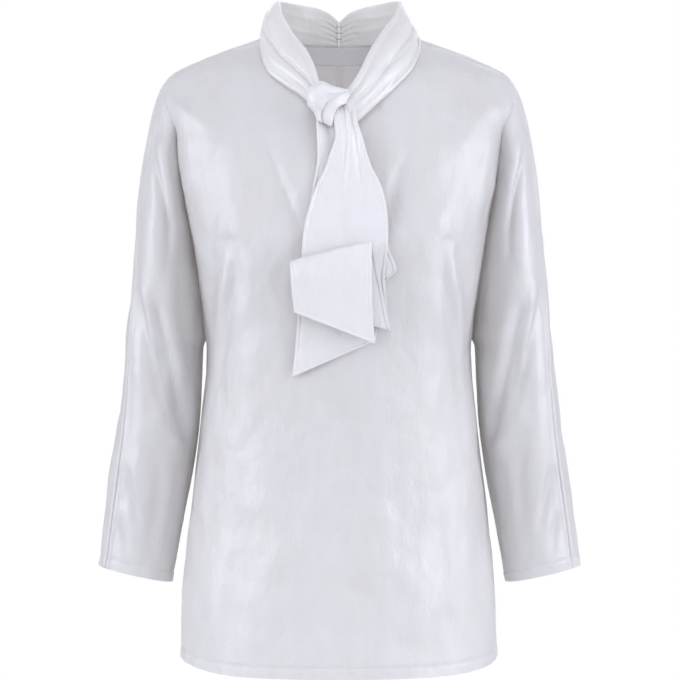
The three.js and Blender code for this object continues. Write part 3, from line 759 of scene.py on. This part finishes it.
class Garment:
    """The three panels as one welded surface, with each point's distances to its seams."""

    MARKS = ("seam", "hem", "centre")

    def __init__(self):
        self.points, self.quads, self.panel, self.marks = [], [], [], []
        self.count = 0
        body = crowd(spread(0, 1, BODY_COLS + 1), 0.4)
        sleeve = 1 + crowd(spread(0, 1, SLEEVE_COLS + 1), 0.75)
        whole = np.concatenate([body, sleeve[1:]])
        for face in OUTWARD:
            for side in (1, -1):
                self.patch(face, side, yoke_patch, whole, spread(0, 1, YOKE_ROWS), last="seam")
                self.patch(face, side, chest_patch, whole, spread(0, 1, CHEST_ROWS), last="seam")
                self.patch(face, side, skirt_patch, body, hem_rows(SKIRT_LENGTH, SKIRT_ROWS),
                           last="seam", low="hem")
                self.patch(face, side, cuff_patch, sleeve, hem_rows(CUFF_LENGTH, CUFF_ROWS),
                           first="seam", last="seam", low="hem", inside=False)
        points = np.concatenate(self.points)
        quads = np.concatenate(self.quads)
        panel = np.concatenate(self.panel)
        marks = np.concatenate(self.marks)
        first, inverse, quads = weld(points, quads)
        self.points, self.quads, self.panel = points[first], quads, panel
        self.marks = np.full((len(first), len(self.MARKS)), FAR)
        np.minimum.at(self.marks, inverse, marks)
        self.dress()

    def patch(self, face, side, shape, across, v, first=None, last=None, low=None, inside=True):
        a, v = np.meshgrid(across, v)
        x, y, z = shape(face, a, v)
        grid = np.stack([side * x, y, z], -1)
        marks = np.full(grid.shape[:2] + (len(self.MARKS),), FAR)
        for name, axis, end in ((first, 1, 0), (last, 1, -1), (low, 0, -1)):
            if name:
                k = self.MARKS.index(name)
                marks[..., k] = np.minimum(marks[..., k], run_from(grid, axis, end))
        if face == "back" and inside:
            marks[..., self.MARKS.index("centre")] = run_from(grid, 1, 0)
        flip = (face == "front") != (side < 0)
        quads = grid_quads(len(v), len(across), flip) + self.count
        name = "front" if face == "front" else ("back_left" if side > 0 else "back_right")
        self.points.append(grid.reshape(-1, 3))
        self.quads.append(quads)
        self.panel.append(np.full(len(quads), name))
        self.marks.append(marks.reshape(-1, len(self.MARKS)))
        self.count += grid.shape[0] * grid.shape[1]

    def mark(self, name):
        return self.marks[:, self.MARKS.index(name)]

    def dress(self):
        """Moves the cloth out and in for its folds, creases, seams and hems."""
        size = sizes()
        points = self.points
        normals = point_normals(points, self.quads)
        x, z = points[:, 0], points[:, 2]
        facing = smooth((np.abs(normals[:, 1]) - 0.15) / 0.6)
        out = np.zeros(len(points))
        for face, sign in OUTWARD.items():
            on = normals[:, 1] * sign > 0
            large = large_relief(face, x[on], z[on]) * size.folds
            small = fold_relief(SMALL_FOLDS[face], x[on], z[on]) * size.crumple
            out[on] = (large + small) * facing[on]
        out += crumple_relief(points) * size.crumple * smooth(self.mark("seam") / 12)
        seam = np.minimum(self.mark("seam"), self.mark("centre"))
        wide = size.allowance / MM
        pucker = SEAM_PUCKER * np.sin(z * 0.9 + 2.0 * np.sin(z * 0.13)) * bell(seam, 5)
        ridge = SEAM_RIDGE * smooth((wide - seam) / 1.2) - SEAM_GROOVE * bell(seam, 1.3)
        out += (ridge + pucker) * (seam < FAR / 2)
        hem = self.mark("hem")
        deep = size.hem / MM
        waver = HEM_WAVER * np.sin(x * 0.42 + 1.7 * np.sin(x * 0.07)) * bell(hem - deep, 6)
        out += waver - HEM_SINK * bell(hem - deep - 0.4, 0.8)
        self.points = points + normals * out[:, None]
        self.normals = point_normals(self.points, self.quads)
        turned = smooth(deep + 1 - hem)
        half = size.cloth / MM / 2
        self.outer = half + TURN_OUT * turned
        self.inner = half + TURN_IN * turned

    def panel_shell(self, name):
        quads = self.quads[self.panel == name]
        return shell(self.points, self.normals, quads, self.outer, self.inner, gap=SEAM_GAP)

    def hem_line(self, side, below, middle):
        """Points in order along the stitched line of a hem, on the outside of the cloth."""
        x, y, z = self.points.T
        part = np.where(np.abs(x) < BODY_REACH, 0, np.sign(x))
        near = np.abs(self.mark("hem") - sizes().hem / MM) < HEM_NEAR
        at = np.nonzero(near & (part == side) & (z < below))[0]
        order = at[np.argsort(np.arctan2(y[at] - middle[1], x[at] - middle[0]))]
        order = np.append(order, order[0])
        normals = self.normals[order]
        return self.points[order] + normals * self.outer[order][:, None], normals


# Where each stitched line is: on the body (0) or a cuff (1 wearer's left, -1 right), below which
# height, and the middle that it runs round
STITCH_LINES = table("name side below middle", [
    ("hem_stitches", 0, -640, (0, 0)), ("cuff_stitches_left", 1, -540, (225, -6)),
    ("cuff_stitches_right", -1, -540, (-225, -6))])
BODY_REACH = 177.5
GARMENT = {}


def garment():
    """The worn garment for the panel's sizes, which is made again only when they change."""
    wanted = tuple(getattr(sizes(), name) for name in BlouseSizes.__annotations__)
    if wanted not in GARMENT:
        GARMENT.clear()
        GARMENT[wanted] = Garment()
    return GARMENT[wanted]


# The scarf collar

# The bands' edges from the centre back (s 0) to the knot, how far the low edge stands off the
# chest, how thick the band is, and how far its middle bows out
BAND_NAMES = "s topX topY topZ lowX lowY lowZ off thick bow"
BAND_BACK = [
    (0, 0.4, 67, 30, 0.4, 72, 0.4, 0, 3, 0), (0.35, 12, 66, 40, 13, 71.2, 0.6, 0, 3.4, 0.5),
    (1, 30, 61, 46, 38.9, 65.1, 1.8, 0, 4, 1)]
BAND_RIGHT = table(BAND_NAMES, BAND_BACK + [
    (2, 54, 37, 47.5, 66, 43, 6, 0, 5, 4), (3, 65, 8, 46, 81, 8, 7.6, 0, 6, 6),
    (4, 63, -20, 31, 84, -39, -14, 3.8, 7, 7),
    (5, 50, -46, 4, 77, 0, -38, 3.2, 8, 5), (6, 34, -68, -18, 60, 0, -54, 3.2, 8, 4),
    (7, 25, -84, -38, 41, 0, -67, 4, 9, 3), (8, 20, -93, -55, 28, 0, -78, 7, 9, 2),
    (9, 12, -96, -66, 18, 0, -84, 8, 8, 2)])
BAND_LEFT = table(BAND_NAMES, BAND_BACK + [
    (2, 56, 37, 48.5, 66, 43, 6, 0, 5, 2), (3, 67, 8, 46, 78.5, 8, 8.2, 0, 5, 1),
    (4, 61, -20, 28, 89, -36, -9, 3.2, 6, 3),
    (5, 44, -48, 2, 81, 0, -33, 3.2, 8, 5), (6, 31, -70, -21, 60, 0, -58, 3.2, 8, 4),
    (7, 22, -87, -41, 39, 0, -78, 4, 9, 3), (8, 12.5, -96, -57, 25, 0, -92, 7, 9, 2),
    (9, 3, -98, -68, 14, 0, -101, 8, 8, 2)])
BAND_STATIONS, BAND_ROWS, BAND_EDGE = 150, 44, 1.8
# The low edge of the band lies on the chest from this station on, and not above this height
BAND_RESTS, BAND_CHEST_TOP = 3.6, -8

# Lengthwise pleats of the collar: the stretch of stations that each runs along, its height on
# the band where it starts and ends (0 top edge, 1 low edge), how wide and how far it stands out
PLEAT_NAMES = "first last start end width depth"
PLEATS_RIGHT = table(PLEAT_NAMES, [
    (0.2, 3.4, 0.30, 0.26, 0.07, -0.8), (0.1, 2.6, 0.62, 0.66, 0.06, -0.9),
    (3.0, 9.0, 0.62, 0.40, 0.045, -3.0), (3.4, 9.0, 0.10, 0.24, 0.05, -1.6),
    (3.2, 8.6, 0.34, 0.32, 0.10, 1.6), (4.2, 9.0, 0.90, 0.72, 0.05, -2.0),
    (2.4, 5.2, 0.24, 0.50, 0.05, -1.4), (3.6, 8.8, 0.78, 0.58, 0.08, 1.2)])
PLEATS_LEFT = table(PLEAT_NAMES, [
    (0.2, 3.2, 0.26, 0.34, 0.07, -0.8), (0.1, 2.8, 0.58, 0.54, 0.06, -0.9),
    (2.6, 6.2, 0.84, 0.90, 0.032, -3.6), (2.8, 8.6, 0.56, 0.52, 0.055, -2.2),
    (2.6, 9.0, 0.12, 0.22, 0.05, -1.8), (3.2, 8.8, 0.34, 0.36, 0.10, 1.8),
    (5.6, 9.0, 0.80, 0.74, 0.05, -1.8), (4.4, 7.0, 0.68, 0.44, 0.04, -1.2)])


def band_mesh(rows, pleats, side):
    """Half of the collar: a soft doubled band, thin at both edges, pleated and gathered."""
    last = len(rows) - 2
    get = curves(rows, BAND_NAMES, "s")
    s, h = np.meshgrid(spread(0, last, BAND_STATIONS + 1), spread(0, 1, BAND_ROWS + 1))

    def corner(s, which):
        x, y, z = (get[which + axis](s) for axis in "XYZ")
        if which == "low":
            rest = chest_y(x, np.minimum(z, BAND_CHEST_TOP)) - get["off"](s)
            y = mix(y, rest, smooth(s - BAND_RESTS))
        return np.stack([side * x, y, z], -1)

    top, low = corner(s, "top"), corner(s, "low")
    step = corner(np.minimum(last, s + 0.05), "top") - corner(np.maximum(0, s - 0.05), "top")
    out = np.cross(step, low - top)
    out *= side / np.linalg.norm(out, axis=-1, keepdims=True)
    swell = 4 * h * (1 - h)
    relief = np.zeros_like(h)
    for pleat in pleats:
        share = (s - pleat["first"]) / (pleat["last"] - pleat["first"])
        middle = mix(pleat["start"], pleat["end"], smooth(share))
        middle = middle + 0.015 * np.sin(s * 2.3 + pleat["start"] * 20)
        fade = smooth(share * 4) * smooth((1.08 - share) * 5)
        relief += pleat["depth"] * bell(h - middle, pleat["width"]) * fade
    gathers = 0.8 * np.sin(h * 40 + 2 * np.sin(s * 3)) * bell(s, 0.55) * smooth(s / 0.12)
    relief = (relief + gathers) * sizes().pleats
    points = top + (low - top) * h[..., None] + out * (get["bow"](s) * swell)[..., None]
    thick = np.where(s < 3, np.minimum(get["thick"](s), 3 + s), get["thick"](s))
    half = mix(BAND_EDGE, thick, np.sqrt(swell)) / 2
    edge = np.sqrt(swell)
    outer = half + relief * edge
    inner = half - relief * edge * 0.5
    quads = grid_quads(*h.shape, flip=side > 0)
    points = points.reshape(-1, 3)
    normals = point_normals(points, quads)
    facing = np.sum(normals * out.reshape(-1, 3), axis=1)
    if facing.mean() < 0:
        quads = quads[:, ::-1]
        normals = -normals
    return shell(points, normals, quads, outer.reshape(-1), inner.reshape(-1))


# The knot and the tie ends

# The knot is two lobes of cloth. The first lies between a far edge and a near one, which rolls
# over the tie end in front. Its rungs run from the pinch at the top right to the pinch below.
KNOT_NAMES = "n farX farZ nearX nearZ deep"
KNOT = table(KNOT_NAMES, [
    (0, 10.6, -62.5, 10.6, -64.8, 3), (1, 4, -61.8, 5, -66.8, 5), (2, -6, -60, -2.5, -70.6, 8),
    (3, -18, -55, -9, -75, 11), (4, -29, -59, -13.5, -79.5, 12), (5, -34.5, -69, -16, -84, 11.5),
    (6, -33, -79, -18, -87, 9), (7, -26.5, -87, -19, -92, 6), (8, -23.4, -95, -18.2, -98.5, 3.5)])
# The second lobe is the tie end itself, which comes out from under the first and turns down.
KNOT_INNER = table(KNOT_NAMES, [
    (0, 15, -63, 18, -74, 2), (1, 4.5, -64.5, 8, -77, 3), (2, -6.5, -69, -0.5, -82, 4),
    (3, -15.5, -76, -5, -88.5, 4.4), (4, -18.5, -85, -6.4, -94.5, 4.4),
    (5, -18.6, -92, -7.0, -99.5, 3.6), (6, -17.5, -97.5, -8.5, -102.5, 1.5)])
KNOT_BASE, KNOT_TUCK = -110, 12
KNOT_PLEATS = table("across width depth", [
    (0.30, 0.055, -1.1), (0.46, 0.05, -0.8), (0.66, 0.07, -1.3), (0.80, 0.04, 0.7)])
# The arc that a lobe bends through, its grid, and the half width that its pleats are set against
LOBE_ARC = (-0.5, math.pi + 0.35)
LOBE_STEPS, LOBE_COLS, LOBE_SIZE = 12, 61, 16
# The rung at which each lobe is widest
KNOT_MIDDLE, KNOT_INNER_MIDDLE = 4.3, 3.2


def lobe_mesh(rungs, middle):
    """A lobe of the knot, whose pleats and ripples fade where it is widest."""
    get = curves(rungs, KNOT_NAMES, "n")
    last = len(rungs) - 1
    n, u = np.meshgrid(spread(0, last, last * LOBE_STEPS + 1), spread(0, 1, LOBE_COLS),
                       indexing="ij")
    angle = mix(*LOBE_ARC, u)
    middle_x = (get["farX"](n) + get["nearX"](n)) / 2
    middle_z = (get["farZ"](n) + get["nearZ"](n)) / 2
    half_x = (get["farX"](n) - get["nearX"](n)) / 2
    half_z = (get["farZ"](n) - get["nearZ"](n)) / 2
    relief = sum(pleat["depth"] * bell(u - pleat["across"] - 0.03 * np.sin(n), pleat["width"])
                 for pleat in KNOT_PLEATS) * sizes().pleats
    away = np.abs(n - middle) / 3
    relief = relief * (0.5 + 0.5 * smooth(away))
    relief = relief + 0.35 * np.sin(u * 31 + 1.5 * np.sin(n)) * smooth(away - 0.3)
    size = 1 + relief / LOBE_SIZE
    x = middle_x + half_x * np.cos(angle) * size
    z = middle_z + half_z * np.cos(angle) * size
    tucked = KNOT_TUCK * smooth(1 - n / 2.2)
    y = KNOT_BASE + tucked - get["deep"](n) * np.sin(angle) * size
    points = np.stack([x, y, z], -1).reshape(-1, 3)
    quads = grid_quads(*n.shape)
    normals = point_normals(points, quads)
    if normals[len(normals) // 2, 1] > 0:
        quads, normals = quads[:, ::-1], -normals
    return shell(points, normals, quads, 0.5, 0.5)


# The tie ends' left and right edges, rung by rung from the knot down, and how far off the chest
RUNG_NAMES = "n leftX leftZ rightX rightZ off"
TIE_UNDER = table(RUNG_NAMES, [
    (0, -23.5, -76, -2, -76, 13), (1, -23.2, -104, 8, -103, 9.5), (2, -22.5, -132, 24, -128, 6.5),
    (3, -29, -174, 42, -168, 4.5), (4, -36, -218, 50, -214, 4), (5, -39.5, -250, 52.5, -231, 4),
    (6, -41.5, -272, 60.5, -254, 4), (7, -43, -290, 50, -266, 4), (8, -43.5, -304, 47, -284, 4),
    (9, -45.5, -334, 44, -305, 4), (10, -49, -367, 38, -329, 4)])
TIE_OVER = table(RUNG_NAMES, [
    (0, -7, -80, 11, -66, 15), (1, -7, -87, 15.5, -77, 16), (2, -6, -94, 18, -88, 16.5),
    (3, -4.6, -102, 20, -98.5, 16.5), (4, -3.6, -112, 23.5, -109, 15),
    (5, -6, -122, 26.5, -119, 13.5), (6, -9.5, -131, 29.5, -130, 12),
    (7, -15, -147.5, 35, -146, 10.2), (8, -24, -166, 43, -162, 9),
    (9, -30.5, -185, 49, -182, 8.5), (10, -36, -207, 51.5, -202, 8),
    (11, -38.6, -229, 52, -218, 8), (12, -39.4, -256, 50.5, -240, 8),
    (13, -39.4, -272, 48, -262, 8.6), (14, -39, -284, 50.5, -290, 9),
    (15, -38.6, -288, 54, -312, 9.6), (16, -38.4, -290, 54.5, -318, 11.2),
    (17, -39, -286, 52, -311, 12.8), (18, -44, -272, 44, -270, 13.6),
    (19, -50.2, -251, 35.8, -229, 14.4), (20, -51.4, -246.5, 34.2, -224, 16.8),
    (21, -51.2, -250, 34.3, -228, 20), (22, -50.4, -262, 34.4, -250, 21.8),
    (23, -48.8, -282, 34.8, -291, 20.6), (24, -47, -299, 37.5, -332, 20)])
# Soft folds of a tie end: the stretch of rungs that each runs along, where it starts and ends
# across it (0 left, 1 right), how wide and how far towards the viewer
TIE_OVER_FOLDS = table(PLEAT_NAMES, [
    (0, 12, 0.52, 0.36, 0.07, -1.3), (0, 10, 0.62, 0.52, 0.10, 1.4), (0, 9, 0.16, 0.2, 0.10, 1.2),
    (1, 11, 0.84, 0.66, 0.06, -1.1), (0, 9, 0.9, 0.84, 0.07, 0.9),
    (21, 26, 0.3, 0.36, 0.16, 1.4), (21, 26, 0.62, 0.7, 0.07, -0.9),
    (21, 26, 0.86, 0.84, 0.1, 0.8)])
TIE_UNDER_FOLDS = table(PLEAT_NAMES, [
    (0, 3.6, 0.1, 0.1, 0.13, 2.6), (0, 3.6, 0.42, 0.4, 0.12, -1.6), (3, 8, 0.6, 0.66, 0.1, 0.8)])
TIE_STEPS, TIE_COLS = 8, 72
# The turned edge of a tie end: how wide it is and how much thicker, the distance of its stitched
# groove from the edge, and half the thickness of the tie elsewhere
TIE_TURN, TIE_TURN_THICK, TIE_GROOVE, TIE_HALF = 3.6, 0.55, 4.0, 0.45


def tie_grid(rungs, folds):
    get = curves(rungs, RUNG_NAMES, "n")
    last = len(rungs) - 1
    along = np.concatenate([spread(0, last - 1, (last - 1) * TIE_STEPS + 1)[:-1],
                            spread(last - 1, last, TIE_STEPS * 4 + 1)])
    across = crowd(spread(0, 1, TIE_COLS + 1), 0.8)
    n, u = np.meshgrid(along, across, indexing="ij")
    x = mix(get["leftX"](n), get["rightX"](n), u)
    z = mix(get["leftZ"](n), get["rightZ"](n), u)
    proud = np.zeros_like(x)
    for fold in folds:
        share = (n - fold["first"]) / (fold["last"] - fold["first"])
        middle = mix(fold["start"], fold["end"], np.clip(share, 0, 1))
        reach = smooth((n - fold["first"]) / 1.2 + 0.4) * smooth((fold["last"] - n) / 4)
        proud += fold["depth"] * bell(u - middle, fold["width"]) * reach
    y = chest_y(x, z) - get["off"](n) - proud * sizes().pleats
    return np.stack([x, y, z], -1)


def tie_mesh(grid):
    rows, cols = grid.shape[:2]
    margin = np.minimum(run_from(grid, 1, 0), run_from(grid, 1, -1))
    margin = np.minimum(margin, run_from(grid, 0, -1))
    rolled = TIE_TURN_THICK * smooth((TIE_TURN - margin) / 0.8)
    rolled = rolled - 0.3 * bell(margin - TIE_GROOVE, 0.6)
    points = grid.reshape(-1, 3)
    quads = grid_quads(rows, cols, flip=True)
    normals = point_normals(points, quads)
    half = (TIE_HALF + rolled).reshape(-1)
    crumple = crumple_relief(points * np.array([1.6, 1.0, 1.6])) * 0.5 * sizes().crumple
    return shell(points, normals, quads, half + crumple, half - crumple)


# The neck label

LABEL = {"half": 38, "top": 1, "low": -17.5, "sag": 0.5, "off": 2.8, "thick": 0.22, "bulge": 0.5}
LABEL_COLS, LABEL_ROWS = 77, 21


def label_mesh():
    u, v = np.meshgrid(spread(-1, 1, LABEL_COLS), spread(0, 1, LABEL_ROWS))
    x = LABEL["half"] * u
    z = mix(LABEL["top"], LABEL["low"], v) - LABEL["sag"] * (1 - u * u)
    s = Section("back", z)
    reach = np.abs(x) * np.sin(s.turn) / s.width
    bulge = LABEL["bulge"] * np.sin(u * 5 + 1) * (1 - u ** 4) * v
    y = s.depth(np.arcsin(reach)) - LABEL["off"] - np.maximum(0, bulge)
    points = np.stack([x, y, z], -1).reshape(-1, 3)
    quads = grid_quads(LABEL_ROWS, LABEL_COLS, flip=True)
    thick = LABEL["thick"]
    turned = thick * smooth((np.abs(u) - 0.93) / 0.02).reshape(-1)
    return shell(points, point_normals(points, quads), quads, thick + turned,
                 thick + turned * 0.5)


# The operators


class Maker:
    """What the operators share: they run in object mode."""

    bl_options = {"REGISTER"}

    @classmethod
    def poll(cls, context):
        return context.mode == "OBJECT"


def make_panel(name):
    make_sheet(f"{name}_cloth", garment().panel_shell(name), satin_look("body"), name)


class BLOUSE_OT_front(Maker, bpy.types.Operator):
    """Makes the front panel, cut in one with the front half of both sleeves"""
    bl_idname = "blouse.front"
    bl_label = "Front panel"

    def execute(self, context):
        make_panel("front")
        return {"FINISHED"}


class BLOUSE_OT_back(Maker, bpy.types.Operator):
    """Makes the two back panels, which meet at the centre back seam"""
    bl_idname = "blouse.back"
    bl_label = "Back panels"

    def execute(self, context):
        for name in ("back_left", "back_right"):
            make_panel(name)
        return {"FINISHED"}


class BLOUSE_OT_hem_stitches(Maker, bpy.types.Operator):
    """Makes the stitched lines above the hem and round both cuffs"""
    bl_idname = "blouse.hem_stitches"
    bl_label = "Hem stitches"

    def execute(self, context):
        length = sizes().stitch / MM
        for line in STITCH_LINES:
            points, normals = garment().hem_line(line["side"], line["below"], line["middle"])
            make_object(line["name"], *stitches(points, normals, length), thread_look(), "satin")
        return {"FINISHED"}


class BLOUSE_OT_collar(Maker, bpy.types.Operator):
    """Makes the two halves of the scarf collar, with their pleats and gathers"""
    bl_idname = "blouse.collar"
    bl_label = "Scarf collar"

    def execute(self, context):
        for name, rows, pleats, side in (("collar_left", BAND_LEFT, PLEATS_LEFT, 1),
                                         ("collar_right", BAND_RIGHT, PLEATS_RIGHT, -1)):
            make_sheet(f"{name}_band", band_mesh(rows, pleats, side), satin_look("collar"), name)
        return {"FINISHED"}


class BLOUSE_OT_knot(Maker, bpy.types.Operator):
    """Makes the knot, where one tie end wraps over the other"""
    bl_idname = "blouse.knot"
    bl_label = "Knot"

    def execute(self, context):
        mesh = join_parts([lobe_mesh(KNOT, KNOT_MIDDLE),
                           lobe_mesh(KNOT_INNER, KNOT_INNER_MIDDLE)])
        make_sheet("knot_wrap", mesh, satin_look("tie"), "knot")
        return {"FINISHED"}


class BLOUSE_OT_tie(Maker, bpy.types.Operator):
    """Makes the two tie ends: the folded one in front and the pointed one behind it"""
    bl_idname = "blouse.tie"
    bl_label = "Tie ends"

    def execute(self, context):
        for name, rungs, folds in (("tie_under", TIE_UNDER, TIE_UNDER_FOLDS),
                                   ("tie_over", TIE_OVER, TIE_OVER_FOLDS)):
            grid = tie_grid(rungs, folds)
            make_sheet(f"{name}_end", tie_mesh(grid), satin_look("tie"), name)
        return {"FINISHED"}


class BLOUSE_OT_label(Maker, bpy.types.Operator):
    """Makes the bare neck label, sewn down at its ends"""
    bl_idname = "blouse.label"
    bl_label = "Neck label"

    def execute(self, context):
        make_sheet("neck_label", label_mesh(), label_look(), "label",
                   "label_satin")
        return {"FINISHED"}


class BLOUSE_OT_hooks(Maker, bpy.types.Operator):
    """Gives the three collar hooks their wire finish"""
    bl_idname = "blouse.hooks"
    bl_label = "Collar hooks"

    def execute(self, context):
        look = hook_look()
        for name in ("hook_1", "hook_2", "hook_3"):
            for slot in bpy.data.objects[name].material_slots:
                slot.material = look
        return {"FINISHED"}


# The stage, in metres: the photo is 680 pixels wide and shows 1.1 mm to a pixel
SEEN_WIDTH, SENSOR = 680 * 0.0011, 36
CAMERA_AT, LIGHTS_AIM = (0.0011, -2.8, -0.328), (0, 0, -0.3)
FLOOR_HEIGHT, FLOOR_RINGS, FLOOR_SIDES = -1.42, (0.6, 1.4, 2.5), 96
LIGHT_COLOUR, WORLD_COLOUR, WORLD_STRENGTH = (0.87, 0.9, 1.0), (0.9, 0.915, 1.0), 0.69
# Name, place, size and power of each light
LIGHTS = [("left_light", (-2.4, -1.2, 0.25), 1.8, 35), ("right_light", (2.4, -1.2, 0.25), 1.8, 38),
          ("front_light", (0.1, -2.7, 0.5), 1.6, 7), ("top_light", (0.2, -1.5, 2.3), 1.5, 12),
          ("back_light", (0.2, 2.4, 0.7), 2.2, 46)]


class BLOUSE_OT_stage(Maker, bpy.types.Operator):
    """Sets the pale floor, the white surroundings, the soft lights and the camera"""
    bl_idname = "blouse.stage"
    bl_label = "Studio stage"

    def execute(self, context):
        self.floor()
        self.world(context)
        for light in LIGHTS:
            self.light(*light)
        self.camera(context)
        return {"FINISHED"}

    def floor(self):
        n, z = FLOOR_SIDES, FLOOR_HEIGHT
        turns = [2 * math.pi * k / n for k in range(n)]
        verts = [(0, 0, z)] + [(r * math.cos(t), r * math.sin(t), z)
                               for r in FLOOR_RINGS for t in turns]
        faces = [(0, 1 + k, 1 + (k + 1) % n) for k in range(n)]
        for ring in range(len(FLOOR_RINGS) - 1):
            a, b = 1 + n * ring, 1 + n * (ring + 1)
            faces += [(a + k, b + k, b + (k + 1) % n, a + (k + 1) % n) for k in range(n)]
        mesh = bpy.data.meshes.new("studio_floor")
        mesh.from_pydata(verts, [], faces)
        floor = bpy.data.objects.new("studio_floor", mesh)
        bpy.context.scene.collection.objects.link(floor)
        mesh.materials.append(floor_look())

    def world(self, context):
        world = bpy.data.worlds.new("white_surroundings")
        world.use_nodes = True
        sky = Nodes(world.node_tree)
        seen = sky.tree.nodes["Background"]
        sky.feed(seen.inputs["Color"], (1, 1, 1))
        sky.feed(seen.inputs["Strength"], 1.0)
        lit = sky.node("ShaderNodeBackground", inputs={
            "Color": WORLD_COLOUR, "Strength": WORLD_STRENGTH})
        ray = sky.node("ShaderNodeLightPath", out="Is Camera Ray")
        both = sky.node("ShaderNodeMixShader", inputs={
            0: ray, 1: lit, 2: Val(sky, seen.outputs[0])})
        sky.feed(sky.tree.nodes["World Output"].inputs["Surface"], both)
        context.scene.world = world
        context.scene.view_settings.view_transform = "Standard"

    def light(self, name, place, size, power):
        data = bpy.data.lights.new(name, "AREA")
        data.shape, data.size, data.energy = "DISK", size, power
        data.color = LIGHT_COLOUR
        lamp = bpy.data.objects.new(name, data)
        lamp.location = place
        aim = Vector(LIGHTS_AIM) - Vector(place)
        lamp.rotation_euler = aim.to_track_quat("-Z", "Y").to_euler()
        bpy.context.scene.collection.objects.link(lamp)

    def camera(self, context):
        data = bpy.data.cameras.new("camera")
        data.sensor_width = SENSOR
        data.lens = SENSOR * -CAMERA_AT[1] / SEEN_WIDTH
        camera = bpy.data.objects.new("camera", data)
        camera.location = CAMERA_AT
        camera.rotation_euler = (math.pi / 2, 0, 0)
        context.scene.collection.objects.link(camera)
        context.scene.camera = camera


OPERATORS = (BLOUSE_OT_front, BLOUSE_OT_back, BLOUSE_OT_hem_stitches, BLOUSE_OT_collar,
             BLOUSE_OT_knot, BLOUSE_OT_tie, BLOUSE_OT_label, BLOUSE_OT_hooks, BLOUSE_OT_stage)


class BLOUSE_PT_panel(bpy.types.Panel):
    """Lists the pieces of the blouse with its sizes and colours"""
    bl_idname = "BLOUSE_PT_panel"
    bl_label = "Blouse"
    bl_space_type = "VIEW_3D"
    bl_region_type = "UI"
    bl_category = "Blouse"

    def draw(self, context):
        for group in (context.scene.blouse_sizes, context.scene.blouse_colours):
            column = self.layout.column(align=True)
            for name in group.__annotations__:
                column.prop(group, name)
        for operator in OPERATORS:
            self.layout.operator(operator.bl_idname)


CLASSES = (BlouseSizes, BlouseColours, *OPERATORS, BLOUSE_PT_panel)


def register():
    for cls in CLASSES:
        bpy.utils.register_class(cls)
    bpy.types.Scene.blouse_sizes = bpy.props.PointerProperty(type=BlouseSizes)
    bpy.types.Scene.blouse_colours = bpy.props.PointerProperty(type=BlouseColours)


def unregister():
    del bpy.types.Scene.blouse_colours
    del bpy.types.Scene.blouse_sizes
    for cls in reversed(CLASSES):
        bpy.utils.unregister_class(cls)


def main():
    register()
    bpy.ops.blouse.front()
    bpy.ops.blouse.back()
    bpy.ops.blouse.hem_stitches()
    bpy.ops.blouse.collar()
    bpy.ops.blouse.knot()
    bpy.ops.blouse.tie()
    bpy.ops.blouse.label()
    bpy.ops.blouse.hooks()
    bpy.ops.blouse.stage()
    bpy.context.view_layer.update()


if __name__ == "__main__":
    main()
